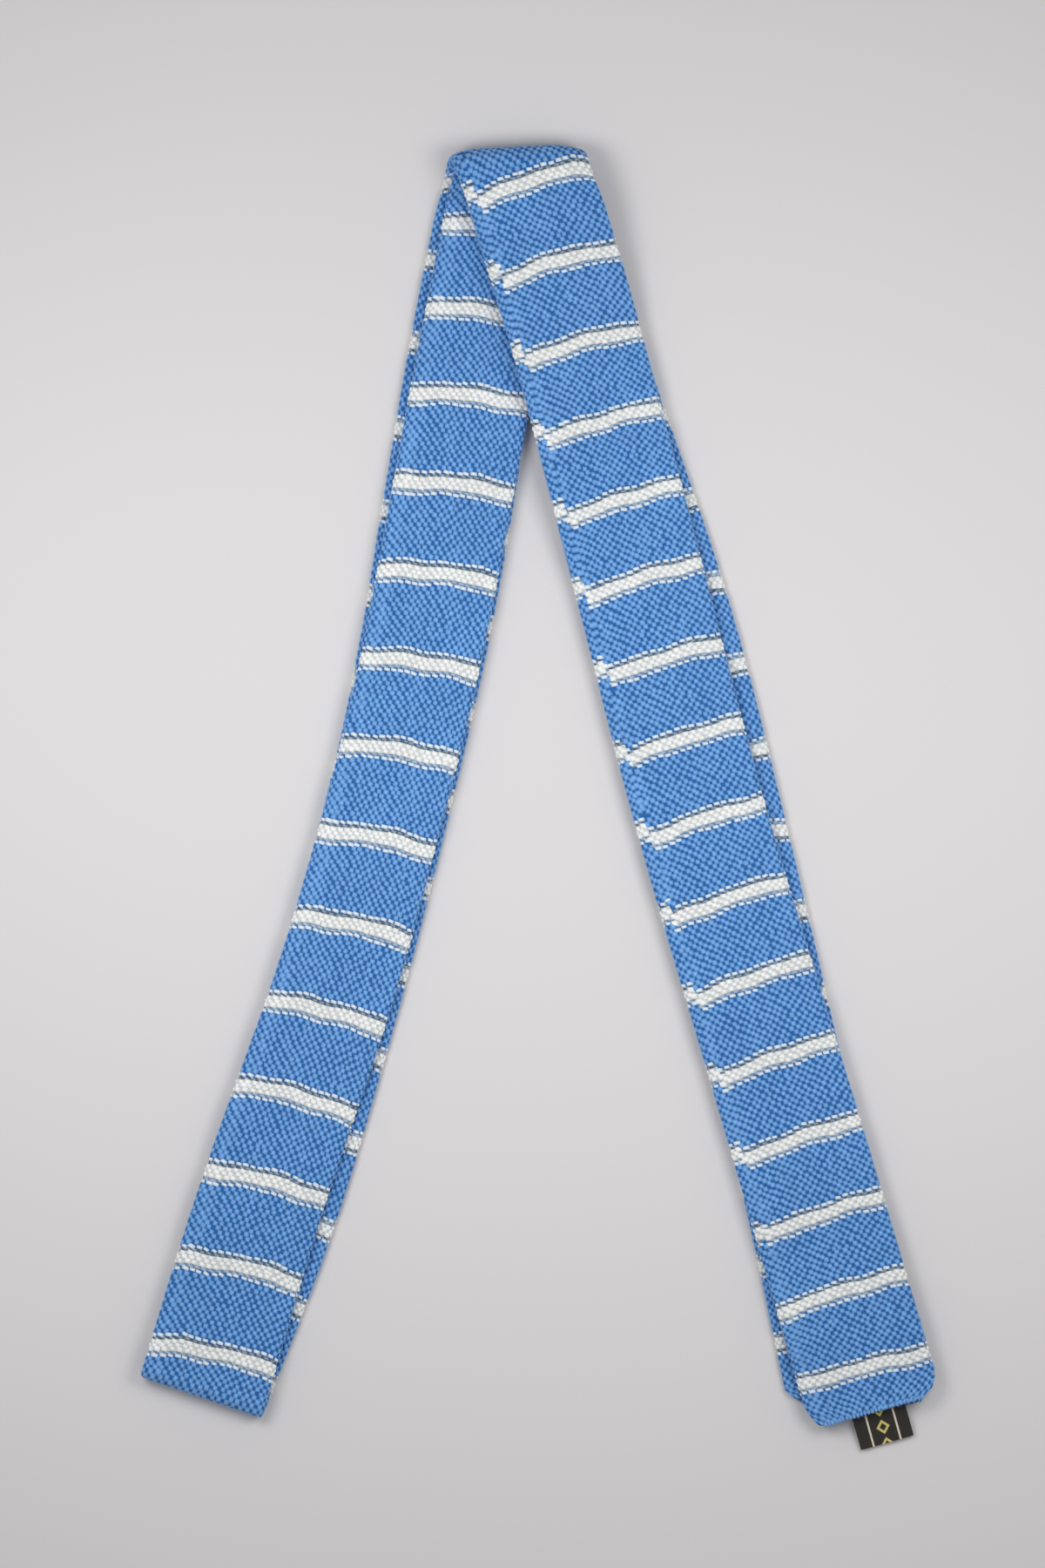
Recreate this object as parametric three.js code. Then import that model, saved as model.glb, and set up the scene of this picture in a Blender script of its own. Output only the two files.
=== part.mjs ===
// A knit tie: one long flat tube of knitting with square ends. It is folded in half at the neck,
// folded over once more at the top, and laid on a table as a slim letter A.
// Millimetres. +Z is up, and +Y runs from the two ends of the tie to the folded top.

import * as THREE from "three";

// Cloth
const TIE_LENGTH = 1460; // from the front end to the tail end, along the middle of the cloth
const WALL = 1.1; // one wall of the knitted tube
const SLIT = 0.4; // space left inside the flattened tube
const LAYER_GAP = 0.4; // between two layers of the folded tie
const BOTTOM_FOLD_RADIUS = 2.2; // middle of the tube, where the neck turns back at the bottom left
const INNER_FOLD_RADIUS = 2.0; // middle of the tube, in the inner of the two folds at the top
const LABEL_LIFT_GAP = 0.3; // above and below the label

const THICKNESS = 2 * WALL + SLIT;
const PITCH = THICKNESS + LAYER_GAP;
const OUTER_FOLD_RADIUS = INNER_FOLD_RADIUS + PITCH;

// Width of the flat tube along its length: share of the length from the front end
const WIDTHS = [
  { share: 0.0, width: 38.6 },
  { share: 0.1, width: 37.2 },
  { share: 0.25, width: 36.8 },
  { share: 0.5, width: 36.4 },
  { share: 0.53, width: 36.0 },
  { share: 0.62, width: 33.4 },
  { share: 0.72, width: 34.6 },
  { share: 0.8, width: 36.0 },
  { share: 0.97, width: 35.8 },
  { share: 1.0, width: 36.4 },
];

// Corners of the two ends: how far each edge is drawn in, by distance from the end
const FRONT_CORNERS = [
  { from_end: 0.0, left: 4.2, right: 6.0 },
  { from_end: 0.8, left: 3.6, right: 3.6 },
  { from_end: 2.2, left: 2.8, right: 1.9 },
  { from_end: 4.5, left: 1.5, right: 0.6 },
  { from_end: 7.5, left: 0.0, right: 0.0 },
];
const TAIL_CORNERS = [
  { from_end: 0.0, left: 5.0, right: 3.6 },
  { from_end: 0.8, left: 4.0, right: 2.2 },
  { from_end: 2.4, left: 2.3, right: 0.9 },
  { from_end: 5.5, left: 0.0, right: 0.0 },
];

// Way of the tie over the table
const START = { x: 99.6, y: -176.6, heading_deg: 106.2 }; // middle of the front end
const TOP_CREASE_DEG = 2.8; // direction of both folds at the top, from +X
const BOTTOM_CREASE_DEG = -18.9; // direction of the fold at the bottom left, from +X
const FRONT_LEG_SHARE = 0.249; // front end to the top, share of the length
const NECK_DOWN_SHARE = 0.2425; // top to the bottom left fold, share of the length

// Soft turns in each leg: between two shares of the leg the cloth turns by so many degrees
const FRONT_TURNS = [
  { from: 0.1, to: 0.35, turn_deg: 0.7 },
  { from: 0.35, to: 0.6, turn_deg: -2.6 },
  { from: 0.6, to: 0.8, turn_deg: 0.4 },
  { from: 0.8, to: 0.96, turn_deg: 2.6 },
];
const NECK_DOWN_TURNS = [
  { from: 0.04, to: 0.25, turn_deg: 2.4 },
  { from: 0.25, to: 0.5, turn_deg: -4.4 },
  { from: 0.5, to: 0.75, turn_deg: -2.3 },
  { from: 0.75, to: 0.94, turn_deg: -5.3 },
];
const NECK_UP_TURNS = [
  { from: 0.05, to: 0.25, turn_deg: -3.1 },
  { from: 0.25, to: 0.45, turn_deg: 4.6 },
  { from: 0.45, to: 0.7, turn_deg: 4.6 },
  { from: 0.7, to: 0.94, turn_deg: -1.1 },
];
const TAIL_TURNS = [
  { from: 0.05, to: 0.25, turn_deg: 2.2 },
  { from: 0.25, to: 0.5, turn_deg: -5.6 },
  { from: 0.5, to: 0.75, turn_deg: -0.8 },
  { from: 0.75, to: 0.95, turn_deg: -0.6 },
];

// Heights
const BOTTOM_SWELL_RUN = 24; // the upper layer sinks back over this way from the bottom fold
const TOP_SWELL_RUN = 26; // the same, from the folds at the top
const DRAPE_RUN = 26; // the right leg sinks from the left leg to the table over this way
const DRAPE_MARGIN = 2; // it starts to sink so far outside the left leg's edge
const CROTCH_SHARE = 0.77; // where the legs part, share of the upward neck leg

// Label of woven ribbon, stitched to the upper face of the tail end
const LABEL_WIDTH = 15.5;
const LABEL_LENGTH = 40;
const LABEL_THICKNESS = 0.4;
const LABEL_OVERHANG = 15.2; // past the tail end
const LABEL_SIDE_SHIFT = 6.1; // from the middle of the tail, to the right
const LABEL_TURN_DEG = 3.6; // from the direction of the tail
const LABEL_TIP_HEIGHT = 1.2; // middle of the ribbon's tip above the table
const LABEL_LIFT_RUN = 20; // the front end sinks back over this way from the label
const ENDS_APART = 8; // most that the front end reaches past the tail end

// Fineness of the faces
const FACE_POINTS = 9;
const SLIT_POINTS = 5;
const OUTER_FOLD_STEPS = 12;
const TIGHT_FOLD_STEPS = 8;
const FINE_STEP = 4;
const DRAPE_STEP = 9;
const PLAIN_STEP = 18;
const PATH_STEPS = 240;

const RADIANS = Math.PI / 180;

/** Smooth step from 0 to 1. */
function ease(x) {
  const t = Math.min(1, Math.max(0, x));
  return t * t * (3 - 2 * t);
}

/** Value of one column of a table, between its rows. */
function lookUp(table, key, column, at) {
  const last = table[table.length - 1];
  if (at <= table[0][key]) return table[0][column];
  if (at >= last[key]) return last[column];
  const i = table.findIndex((row) => row[key] > at);
  const low = table[i - 1];
  const high = table[i];
  const share = (at - low[key]) / (high[key] - low[key]);
  return low[column] + share * (high[column] - low[column]);
}

/** Half the width of the tube at a length from the front end, to the left or the right edge. */
function halfWidth(s, side) {
  const inset =
    lookUp(FRONT_CORNERS, "from_end", side, s) +
    lookUp(TAIL_CORNERS, "from_end", side, TIE_LENGTH - s);
  return lookUp(WIDTHS, "share", "width", s / TIE_LENGTH) / 2 - inset;
}

/** Shape of a leg of length 1: headings and places of its middle line. */
function legShape(heading, turns) {
  const rows = [{ share: 0, x: 0, y: 0, heading }];
  for (let i = 1; i <= PATH_STEPS; i += 1) {
    const share = i / PATH_STEPS;
    const before = rows[i - 1];
    const turned = turns.reduce(
      (sum, row) => sum + row.turn_deg * ease((share - row.from) / (row.to - row.from)),
      0,
    );
    const now = heading + turned * RADIANS;
    const middle = (now + before.heading) / 2;
    rows.push({
      share,
      x: before.x + Math.cos(middle) / PATH_STEPS,
      y: before.y + Math.sin(middle) / PATH_STEPS,
      heading: now,
    });
  }
  return rows;
}

/** A leg of the tie. Its face is 1 with the right side of the knitting up, and -1 with it down. */
function makeLeg(start, heading, turns, length, from, face) {
  return { start, shape: legShape(heading, turns), length, from, face };
}

/** Place, heading and sideways direction on a leg's middle line, also a little past its ends. */
function onLeg(leg, s) {
  const share = (s - leg.from) / leg.length;
  const inside = Math.min(1, Math.max(0, share));
  const past = (share - inside) * leg.length;
  const x = lookUp(leg.shape, "share", "x", inside);
  const y = lookUp(leg.shape, "share", "y", inside);
  const heading = lookUp(leg.shape, "share", "heading", inside);
  return {
    x: leg.start.x + x * leg.length + past * Math.cos(heading),
    y: leg.start.y + y * leg.length + past * Math.sin(heading),
    heading,
    side: { x: -Math.sin(heading) * leg.face, y: Math.cos(heading) * leg.face },
  };
}

/** A fold at the end of a leg: a half turn of the cloth about a line of the given direction. */
function makeFold(leg, creaseDeg, radius) {
  const from = leg.from + leg.length;
  const end = onLeg(leg, from);
  const along = { x: Math.cos(creaseDeg * RADIANS), y: Math.sin(creaseDeg * RADIANS) };
  const step = { x: Math.cos(end.heading), y: Math.sin(end.heading) };
  const turn = along.x * step.y - along.y * step.x > 0 ? 1 : -1;
  const out = { x: -along.y * turn, y: along.x * turn };
  const stepOut = step.x * out.x + step.y * out.y;
  const stepAlong = step.x * along.x + step.y * along.y;
  const sideOut = end.side.x * out.x + end.side.y * out.y;
  const sideAlong = end.side.x * along.x + end.side.y * along.y;
  const length = (Math.PI * radius) / stepOut;
  return {
    place: { x: end.x, y: end.y },
    along,
    out,
    radius,
    from,
    length,
    stepOut,
    stepAlong,
    sideOut,
    sideAlong,
    skew: -sideOut / stepOut,
    next: {
      x: end.x + along.x * length * stepAlong,
      y: end.y + along.y * length * stepAlong,
    },
    nextHeading: 2 * creaseDeg * RADIANS - end.heading,
  };
}

/** The four legs and the three folds between them. */
function layTie() {
  const front = makeLeg(
    START,
    START.heading_deg * RADIANS,
    FRONT_TURNS,
    FRONT_LEG_SHARE * TIE_LENGTH,
    0,
    1,
  );
  const outerFold = makeFold(front, TOP_CREASE_DEG, OUTER_FOLD_RADIUS);
  const neckDown = makeLeg(
    outerFold.next,
    outerFold.nextHeading,
    NECK_DOWN_TURNS,
    NECK_DOWN_SHARE * TIE_LENGTH,
    outerFold.from + outerFold.length,
    -1,
  );
  const bottomFold = makeFold(neckDown, BOTTOM_CREASE_DEG, BOTTOM_FOLD_RADIUS);
  // the upward leg ends where it meets the line of the outer fold, so that both folds share it
  const shape = legShape(bottomFold.nextHeading, NECK_UP_TURNS);
  const tip = shape[PATH_STEPS];
  const way =
    (outerFold.place.x - bottomFold.next.x) * outerFold.out.x +
    (outerFold.place.y - bottomFold.next.y) * outerFold.out.y;
  const gain = tip.x * outerFold.out.x + tip.y * outerFold.out.y;
  const neckUp = makeLeg(
    bottomFold.next,
    bottomFold.nextHeading,
    NECK_UP_TURNS,
    way / gain,
    bottomFold.from + bottomFold.length,
    1,
  );
  const innerFold = makeFold(neckUp, TOP_CREASE_DEG, INNER_FOLD_RADIUS);
  const tailFrom = innerFold.from + innerFold.length;
  const tail = makeLeg(
    innerFold.next,
    innerFold.nextHeading,
    TAIL_TURNS,
    TIE_LENGTH - tailFrom,
    tailFrom,
    -1,
  );
  return { legs: [front, neckDown, neckUp, tail], folds: [outerFold, bottomFold, innerFold] };
}

const TIE = layTie();

/** Line from which the right leg sinks to the table: just outside the left leg's right edge. */
function drapeLine() {
  const [outerFold, , innerFold] = TIE.folds;
  const front = TIE.legs[0];
  const neckUp = TIE.legs[2];
  const foldHalf = halfWidth(front.length, "right") / outerFold.stepOut + DRAPE_MARGIN;
  const top = {
    x: outerFold.place.x + outerFold.along.x * foldHalf,
    y: outerFold.place.y + outerFold.along.y * foldHalf,
  };
  const s = neckUp.from + CROTCH_SHARE * neckUp.length;
  const middle = onLeg(neckUp, s);
  const reach = halfWidth(s, "right") + DRAPE_MARGIN;
  const crotch = { x: middle.x - middle.side.x * reach, y: middle.y - middle.side.y * reach };
  const long = Math.hypot(crotch.x - top.x, crotch.y - top.y);
  return {
    top,
    right: { x: -(crotch.y - top.y) / long, y: (crotch.x - top.x) / long },
    innerFold,
  };
}

const DRAPE = drapeLine();

/** How far a point lies on the leg's side of a fold line. */
function fromFold(fold, x, y) {
  return -((x - fold.place.x) * fold.out.x + (y - fold.place.y) * fold.out.y);
}

/** Height of the middle of the tube, on a leg, at a place on the table. */
function legHeight(index, x, y, s) {
  const floor = THICKNESS / 2;
  const [outerFold, bottomFold] = TIE.folds;
  if (index === 1) return floor;
  if (index === 2) {
    const swell = 2 * BOTTOM_FOLD_RADIUS - PITCH;
    return floor + PITCH + swell * (1 - ease(fromFold(bottomFold, x, y) / BOTTOM_SWELL_RUN));
  }
  const right = (x - DRAPE.top.x) * DRAPE.right.x + (y - DRAPE.top.y) * DRAPE.right.y;
  const raised = 2 * PITCH * (1 - ease(right / DRAPE_RUN));
  const swell = 2 * INNER_FOLD_RADIUS - PITCH;
  const swollen = swell * (1 - ease(fromFold(outerFold, x, y) / TOP_SWELL_RUN));
  if (index === 3) return floor + raised + swollen;
  const covered = LABEL_LENGTH - LABEL_OVERHANG + ENDS_APART;
  const lift = LABEL_THICKNESS + 2 * LABEL_LIFT_GAP - LAYER_GAP;
  const lifted = lift * (1 - ease((s - covered) / LABEL_LIFT_RUN));
  return floor + PITCH + raised + swollen + lifted;
}

/** Place on a leg, v to the left as seen from above. */
function legPoint(index, s, v) {
  const at = onLeg(TIE.legs[index], s);
  const x = at.x + v * at.side.x;
  const y = at.y + v * at.side.y;
  return new THREE.Vector3(x, y, legHeight(index, x, y, s));
}

/** Middle of the tube at a length s from the front end and a distance v from its middle line. */
function clothPoint(s, v) {
  for (let k = 0; k < TIE.folds.length; k += 1) {
    const fold = TIE.folds[k];
    const out = (s - fold.from) * fold.stepOut + v * fold.sideOut;
    if (out < 0) return legPoint(k, s, v);
    if (out <= Math.PI * fold.radius) {
      const along = (s - fold.from) * fold.stepAlong + v * fold.sideAlong;
      const x = fold.place.x + fold.along.x * along;
      const y = fold.place.y + fold.along.y * along;
      const low = legHeight(k, x, y, s);
      const high = legHeight(k + 1, x, y, s);
      const angle = out / fold.radius;
      const reach = fold.radius * Math.sin(angle);
      return new THREE.Vector3(
        x + fold.out.x * reach,
        y + fold.out.y * reach,
        low + ((high - low) * (1 - Math.cos(angle))) / 2,
      );
    }
  }
  return legPoint(3, s, v);
}

/** Direction out of the right side of the knitting. */
function clothNormal(s, v) {
  const d = 0.02;
  const alongS = clothPoint(s + d, v).sub(clothPoint(s - d, v));
  const alongV = clothPoint(s, v + d).sub(clothPoint(s, v - d));
  return alongS.cross(alongV).normalize();
}

/** Lengths along a leg, finer for the given runs at its two ends. */
function legSteps(leg, startRuns, endRuns) {
  const marks = (runs) => {
    const list = [0];
    runs.forEach((run) => {
      const count = Math.max(1, Math.round(run.length / run.step));
      const base = list[list.length - 1];
      for (let i = 1; i <= count; i += 1) list.push(base + (run.length * i) / count);
    });
    return list;
  };
  const head = marks(startRuns);
  const foot = marks(endRuns).map((mark) => leg.length - mark);
  const first = head[head.length - 1];
  const last = foot[foot.length - 1];
  const count = Math.max(1, Math.round((last - first) / PLAIN_STEP));
  const between = [];
  for (let i = 1; i < count; i += 1) between.push(first + ((last - first) * i) / count);
  return [...head, ...between, ...foot.reverse()].map((mark) => leg.from + mark);
}

/** All cross sections of the tube: length from the front end, and slant of the section. */
function sections() {
  const corner = (table) => table.map((row) => row.from_end);
  const topRuns = [
    { length: TOP_SWELL_RUN, step: FINE_STEP },
    { length: 110, step: DRAPE_STEP },
  ];
  const frontRuns = [{ length: 60, step: 10 }];
  const runs = [
    { start: frontRuns, end: topRuns },
    { start: [{ length: 20, step: 10 }], end: [{ length: 20, step: 10 }] },
    {
      start: [{ length: BOTTOM_SWELL_RUN, step: FINE_STEP }],
      end: [{ length: 20, step: 10 }],
    },
    { start: topRuns, end: [{ length: 30, step: 15 }] },
  ];
  const skews = [0, ...TIE.folds.map((fold) => fold.skew), 0];
  const list = [];
  TIE.legs.forEach((leg, k) => {
    let lengths = legSteps(leg, runs[k].start, runs[k].end);
    if (k === 0) lengths = [...corner(FRONT_CORNERS), ...lengths.filter((s) => s > 8)];
    if (k === 3) {
      const ends = corner(TAIL_CORNERS).map((mark) => TIE_LENGTH - mark);
      lengths = [...lengths.filter((s) => s < TIE_LENGTH - 7), ...ends.reverse()];
    }
    lengths.forEach((s) => {
      const share = ease((s - leg.from) / leg.length);
      list.push({ s, skew: skews[k] + (skews[k + 1] - skews[k]) * share });
    });
    if (k === 3) return;
    const fold = TIE.folds[k];
    const count = k === 0 ? OUTER_FOLD_STEPS : TIGHT_FOLD_STEPS;
    for (let i = 1; i < count; i += 1)
      list.push({ s: fold.from + (fold.length * i) / count, skew: fold.skew });
  });
  return list;
}

/** Evenly spread numbers from low to high. */
function spread(low, high, count) {
  return Array.from({ length: count }, (_, i) => low + ((high - low) * i) / (count - 1));
}

/** Outline of the tube's cross section at s, as pairs of v and n. */
function outerProfile(s) {
  const round = THICKNESS / 2;
  const left = halfWidth(s, "left") - round;
  const right = -(halfWidth(s, "right") - round);
  const arc = (centre, degrees) =>
    degrees.map((a) => [
      centre + round * Math.cos(a * RADIANS),
      round * Math.sin(a * RADIANS),
    ]);
  return [
    ...arc(left, [-45, 0, 45]),
    ...spread(left, right, FACE_POINTS).map((v) => [v, round]),
    ...arc(right, [135, 180, 225]),
    ...spread(right, left, FACE_POINTS).map((v) => [v, -round]),
  ];
}

/** Outline of the slit inside the tube at s, as pairs of v and n. */
function slitProfile(s) {
  const round = THICKNESS / 2;
  const taper = 0.8;
  const left = halfWidth(s, "left") - round;
  const right = -(halfWidth(s, "right") - round);
  return [
    [left, 0],
    ...spread(left - taper, right + taper, SLIT_POINTS).map((v) => [v, SLIT / 2]),
    [right, 0],
    ...spread(right + taper, left - taper, SLIT_POINTS).map((v) => [v, -SLIT / 2]),
  ];
}

/** Faces of an end: the ring between the tube's outline and its slit. */
function endFaces(outer, slit) {
  const toVectors = (ring) => ring.map(([v, n]) => new THREE.Vector2(v, n));
  const all = [...outer, ...slit];
  return THREE.ShapeUtils.triangulateShape(toVectors(outer), [toVectors(slit)]).map(
    ([a, b, c]) => {
      const area =
        (all[b][0] - all[a][0]) * (all[c][1] - all[a][1]) -
        (all[b][1] - all[a][1]) * (all[c][0] - all[a][0]);
      return area > 0 ? [a, b, c] : [a, c, b];
    },
  );
}

/** The knitted tube: its outer skin, the skin of its slit, and the two ends. */
function knitTube() {
  const positions = [];
  const faces = [];
  const list = sections();
  const outerCount = outerProfile(TIE_LENGTH / 2).length;
  const slitCount = slitProfile(TIE_LENGTH / 2).length;
  const ring = outerCount + slitCount;
  list.forEach(({ s, skew }) => {
    [...outerProfile(s), ...slitProfile(s)].forEach(([v, n]) => {
      const at = s + v * skew;
      const point = clothPoint(at, v).addScaledVector(clothNormal(at, v), n);
      positions.push(point.x, point.y, point.z);
    });
  });
  for (let j = 0; j + 1 < list.length; j += 1) {
    const here = j * ring;
    const next = here + ring;
    for (let i = 0; i < outerCount; i += 1) {
      const k = (i + 1) % outerCount;
      faces.push([here + i, here + k, next + k], [here + i, next + k, next + i]);
    }
    for (let i = 0; i < slitCount; i += 1) {
      const a = outerCount + i;
      const b = outerCount + ((i + 1) % slitCount);
      faces.push([here + b, here + a, next + a], [here + b, next + a, next + b]);
    }
  }
  const last = (list.length - 1) * ring;
  endFaces(outerProfile(0), slitProfile(0)).forEach(([a, b, c]) => faces.push([c, b, a]));
  endFaces(outerProfile(TIE_LENGTH), slitProfile(TIE_LENGTH)).forEach(([a, b, c]) =>
    faces.push([last + a, last + b, last + c]),
  );
  return closedBody(positions, faces);
}

/** The label: a flat ribbon that lies on the tail end and sinks past it. */
function labelRibbon() {
  const positions = [];
  const faces = [];
  const tail = TIE.legs[3];
  const end = onLeg(tail, TIE_LENGTH);
  const heading = end.heading + LABEL_TURN_DEG * RADIANS;
  const step = { x: Math.cos(heading), y: Math.sin(heading) };
  const side = { x: -step.y, y: step.x };
  const middle = {
    x: end.x - end.side.x * LABEL_SIDE_SHIFT,
    y: end.y - end.side.y * LABEL_SIDE_SHIFT,
  };
  const lying = THICKNESS + LABEL_LIFT_GAP + LABEL_THICKNESS / 2;
  const marks = [
    ...spread(LABEL_OVERHANG - LABEL_LENGTH, 1, 6),
    ...spread(1, LABEL_OVERHANG, 8).slice(1),
  ];
  const half = LABEL_WIDTH / 2;
  const thick = LABEL_THICKNESS / 2;
  const height = (mark) =>
    lying - (lying - LABEL_TIP_HEIGHT) * Math.max(0, (mark - 1) / (LABEL_OVERHANG - 1)) ** 1.6;
  marks.forEach((mark) => {
    const slope = Math.atan2(height(mark + 0.01) - height(mark - 0.01), 0.02);
    [
      [half, -thick],
      [half, thick],
      [-half, thick],
      [-half, -thick],
    ].forEach(([across, up]) => {
      const back = -Math.sin(slope) * up;
      positions.push(
        middle.x + step.x * (mark + back) + side.x * across,
        middle.y + step.y * (mark + back) + side.y * across,
        height(mark) + Math.cos(slope) * up,
      );
    });
  });
  for (let j = 0; j + 1 < marks.length; j += 1) {
    for (let i = 0; i < 4; i += 1) {
      const a = 4 * j + i;
      const b = 4 * j + ((i + 1) % 4);
      faces.push([a, b, b + 4], [a, b + 4, a + 4]);
    }
  }
  const last = 4 * (marks.length - 1);
  faces.push([3, 2, 1], [3, 1, 0]);
  faces.push([last, last + 1, last + 2], [last, last + 2, last + 3]);
  return closedBody(positions, faces);
}

/** Geometry of a closed body. */
function closedBody(positions, faces) {
  const geometry = new THREE.BufferGeometry();
  geometry.setAttribute("position", new THREE.Float32BufferAttribute(positions, 3));
  geometry.setIndex(faces.flat());
  geometry.computeVertexNormals();
  return geometry;
}

/** A named piece of the tie. */
function piece(name, geometry, color, roughness) {
  const material = new THREE.MeshStandardMaterial({ color, roughness, metalness: 0 });
  const mesh = new THREE.Mesh(geometry, material);
  mesh.name = name;
  return mesh;
}

const tube = piece("knit_tube", knitTube(), 0x4a86cf, 0.95);
const label = piece("woven_label", labelRibbon(), 0x14120f, 0.8);

// Middle of the tie's footprint at the origin, its underside on the table
const box = new THREE.Box3();
[tube, label].forEach((mesh) => {
  mesh.geometry.computeBoundingBox();
  box.union(mesh.geometry.boundingBox);
});
const middle = box.getCenter(new THREE.Vector3());
[tube, label].forEach((mesh) => mesh.geometry.translate(-middle.x, -middle.y, -box.min.z));

const tie = new THREE.Group();
tie.name = "knit_tie";
tie.add(tube, label);

export default tie;
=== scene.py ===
"""Knit tie: the dressed model of a square-ended knitted tie, folded and laid as a slim letter A.

The cloth is one long flat tube of knitting. Its way over the table is worked out here in the same
way as in the CAD source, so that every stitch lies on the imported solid. Lengths are millimetres
until a mesh is made, and metres in Blender.
"""

import logging
import math
from dataclasses import dataclass, field
from enum import Enum

import bpy
import numpy as np
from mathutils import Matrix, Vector


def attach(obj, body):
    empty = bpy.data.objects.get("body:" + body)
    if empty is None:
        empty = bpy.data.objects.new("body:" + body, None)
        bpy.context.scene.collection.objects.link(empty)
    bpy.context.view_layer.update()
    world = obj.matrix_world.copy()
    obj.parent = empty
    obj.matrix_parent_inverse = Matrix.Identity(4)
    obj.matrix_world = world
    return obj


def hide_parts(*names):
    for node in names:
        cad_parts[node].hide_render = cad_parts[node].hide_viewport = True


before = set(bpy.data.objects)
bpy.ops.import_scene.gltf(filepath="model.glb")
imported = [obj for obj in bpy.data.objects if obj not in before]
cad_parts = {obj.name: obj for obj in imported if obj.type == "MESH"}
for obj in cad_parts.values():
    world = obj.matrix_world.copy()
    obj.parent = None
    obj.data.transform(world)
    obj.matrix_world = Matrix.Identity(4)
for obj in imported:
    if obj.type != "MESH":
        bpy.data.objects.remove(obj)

LOG = logging.getLogger("knit_tie")
MM = 0.001
TIE_LENGTH = 1460.0
PATH_STEPS = 240
RNG_SEED = 20240


# ---------------------------------------------------------------------------------------------
# Way of the cloth
# ---------------------------------------------------------------------------------------------


def ease(x: np.ndarray) -> np.ndarray:
    """Smooth step from 0 to 1.

    Args:
        x: numbers of any size.

    Returns:
        0 below 0, 1 above 1, and a smooth rise between.
    """
    t = np.clip(x, 0.0, 1.0)
    return t * t * (3.0 - 2.0 * t)


@dataclass(frozen=True)
class Turn:
    """A soft turn of the cloth between two shares of a leg."""

    start: float
    end: float
    degrees: float


@dataclass
class Leg:
    """One of the four straight runs of the folded tie."""

    start: tuple[float, float]
    heading: float  # at its start, in radians
    turns: tuple[Turn, ...]
    length: float
    first: float  # length from the front end at which the leg starts
    face: int  # 1 with the right side of the knitting up, -1 with it down

    def __post_init__(self) -> None:
        """Works out the middle line of the leg."""
        self.shares = np.linspace(0.0, 1.0, PATH_STEPS + 1)
        turned = sum(
            t.degrees * ease((self.shares - t.start) / (t.end - t.start)) for t in self.turns
        )
        self.headings = self.heading + np.radians(turned)
        middle = (self.headings[1:] + self.headings[:-1]) / 2.0
        self.xs = np.concatenate([[0.0], np.cumsum(np.cos(middle))]) / PATH_STEPS
        self.ys = np.concatenate([[0.0], np.cumsum(np.sin(middle))]) / PATH_STEPS

    def at(self, s: np.ndarray) -> tuple[np.ndarray, np.ndarray, np.ndarray]:
        """Place and heading of the middle line.

        Args:
            s: lengths from the front end.

        Returns:
            x, y and heading at each length.
        """
        share = (s - self.first) / self.length
        inside = np.clip(share, 0.0, 1.0)
        past = (share - inside) * self.length
        heading = np.interp(inside, self.shares, self.headings)
        x = self.start[0] + np.interp(inside, self.shares, self.xs) * self.length
        y = self.start[1] + np.interp(inside, self.shares, self.ys) * self.length
        return x + past * np.cos(heading), y + past * np.sin(heading), heading

    def point(self, s: np.ndarray, v: np.ndarray) -> tuple[np.ndarray, np.ndarray]:
        """Place beside the middle line, v to the left of the knitting's right side."""
        x, y, heading = self.at(s)
        return x - v * np.sin(heading) * self.face, y + v * np.cos(heading) * self.face


@dataclass
class Fold:
    """A half turn of the cloth at the end of a leg, about a line of the given direction."""

    leg: Leg
    crease_deg: float
    radius: float

    def __post_init__(self) -> None:
        """Works out the fold's axes and the start of the next leg."""
        self.first = self.leg.first + self.leg.length
        x, y, heading = (float(value) for value in self.leg.at(np.array(self.first)))
        crease = math.radians(self.crease_deg)
        self.place = np.array([x, y])
        self.along = np.array([math.cos(crease), math.sin(crease)])
        step = np.array([math.cos(heading), math.sin(heading)])
        side = np.array([-math.sin(heading), math.cos(heading)]) * self.leg.face
        turn = 1.0 if self.along[0] * step[1] - self.along[1] * step[0] > 0 else -1.0
        self.out = np.array([-self.along[1], self.along[0]]) * turn
        self.step_out = float(step @ self.out)
        self.step_along = float(step @ self.along)
        self.side_out = float(side @ self.out)
        self.side_along = float(side @ self.along)
        self.length = math.pi * self.radius / self.step_out
        self.skew = -self.side_out / self.step_out
        self.next_start = tuple(self.place + self.along * self.length * self.step_along)
        self.next_heading = 2.0 * crease - heading


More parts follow.
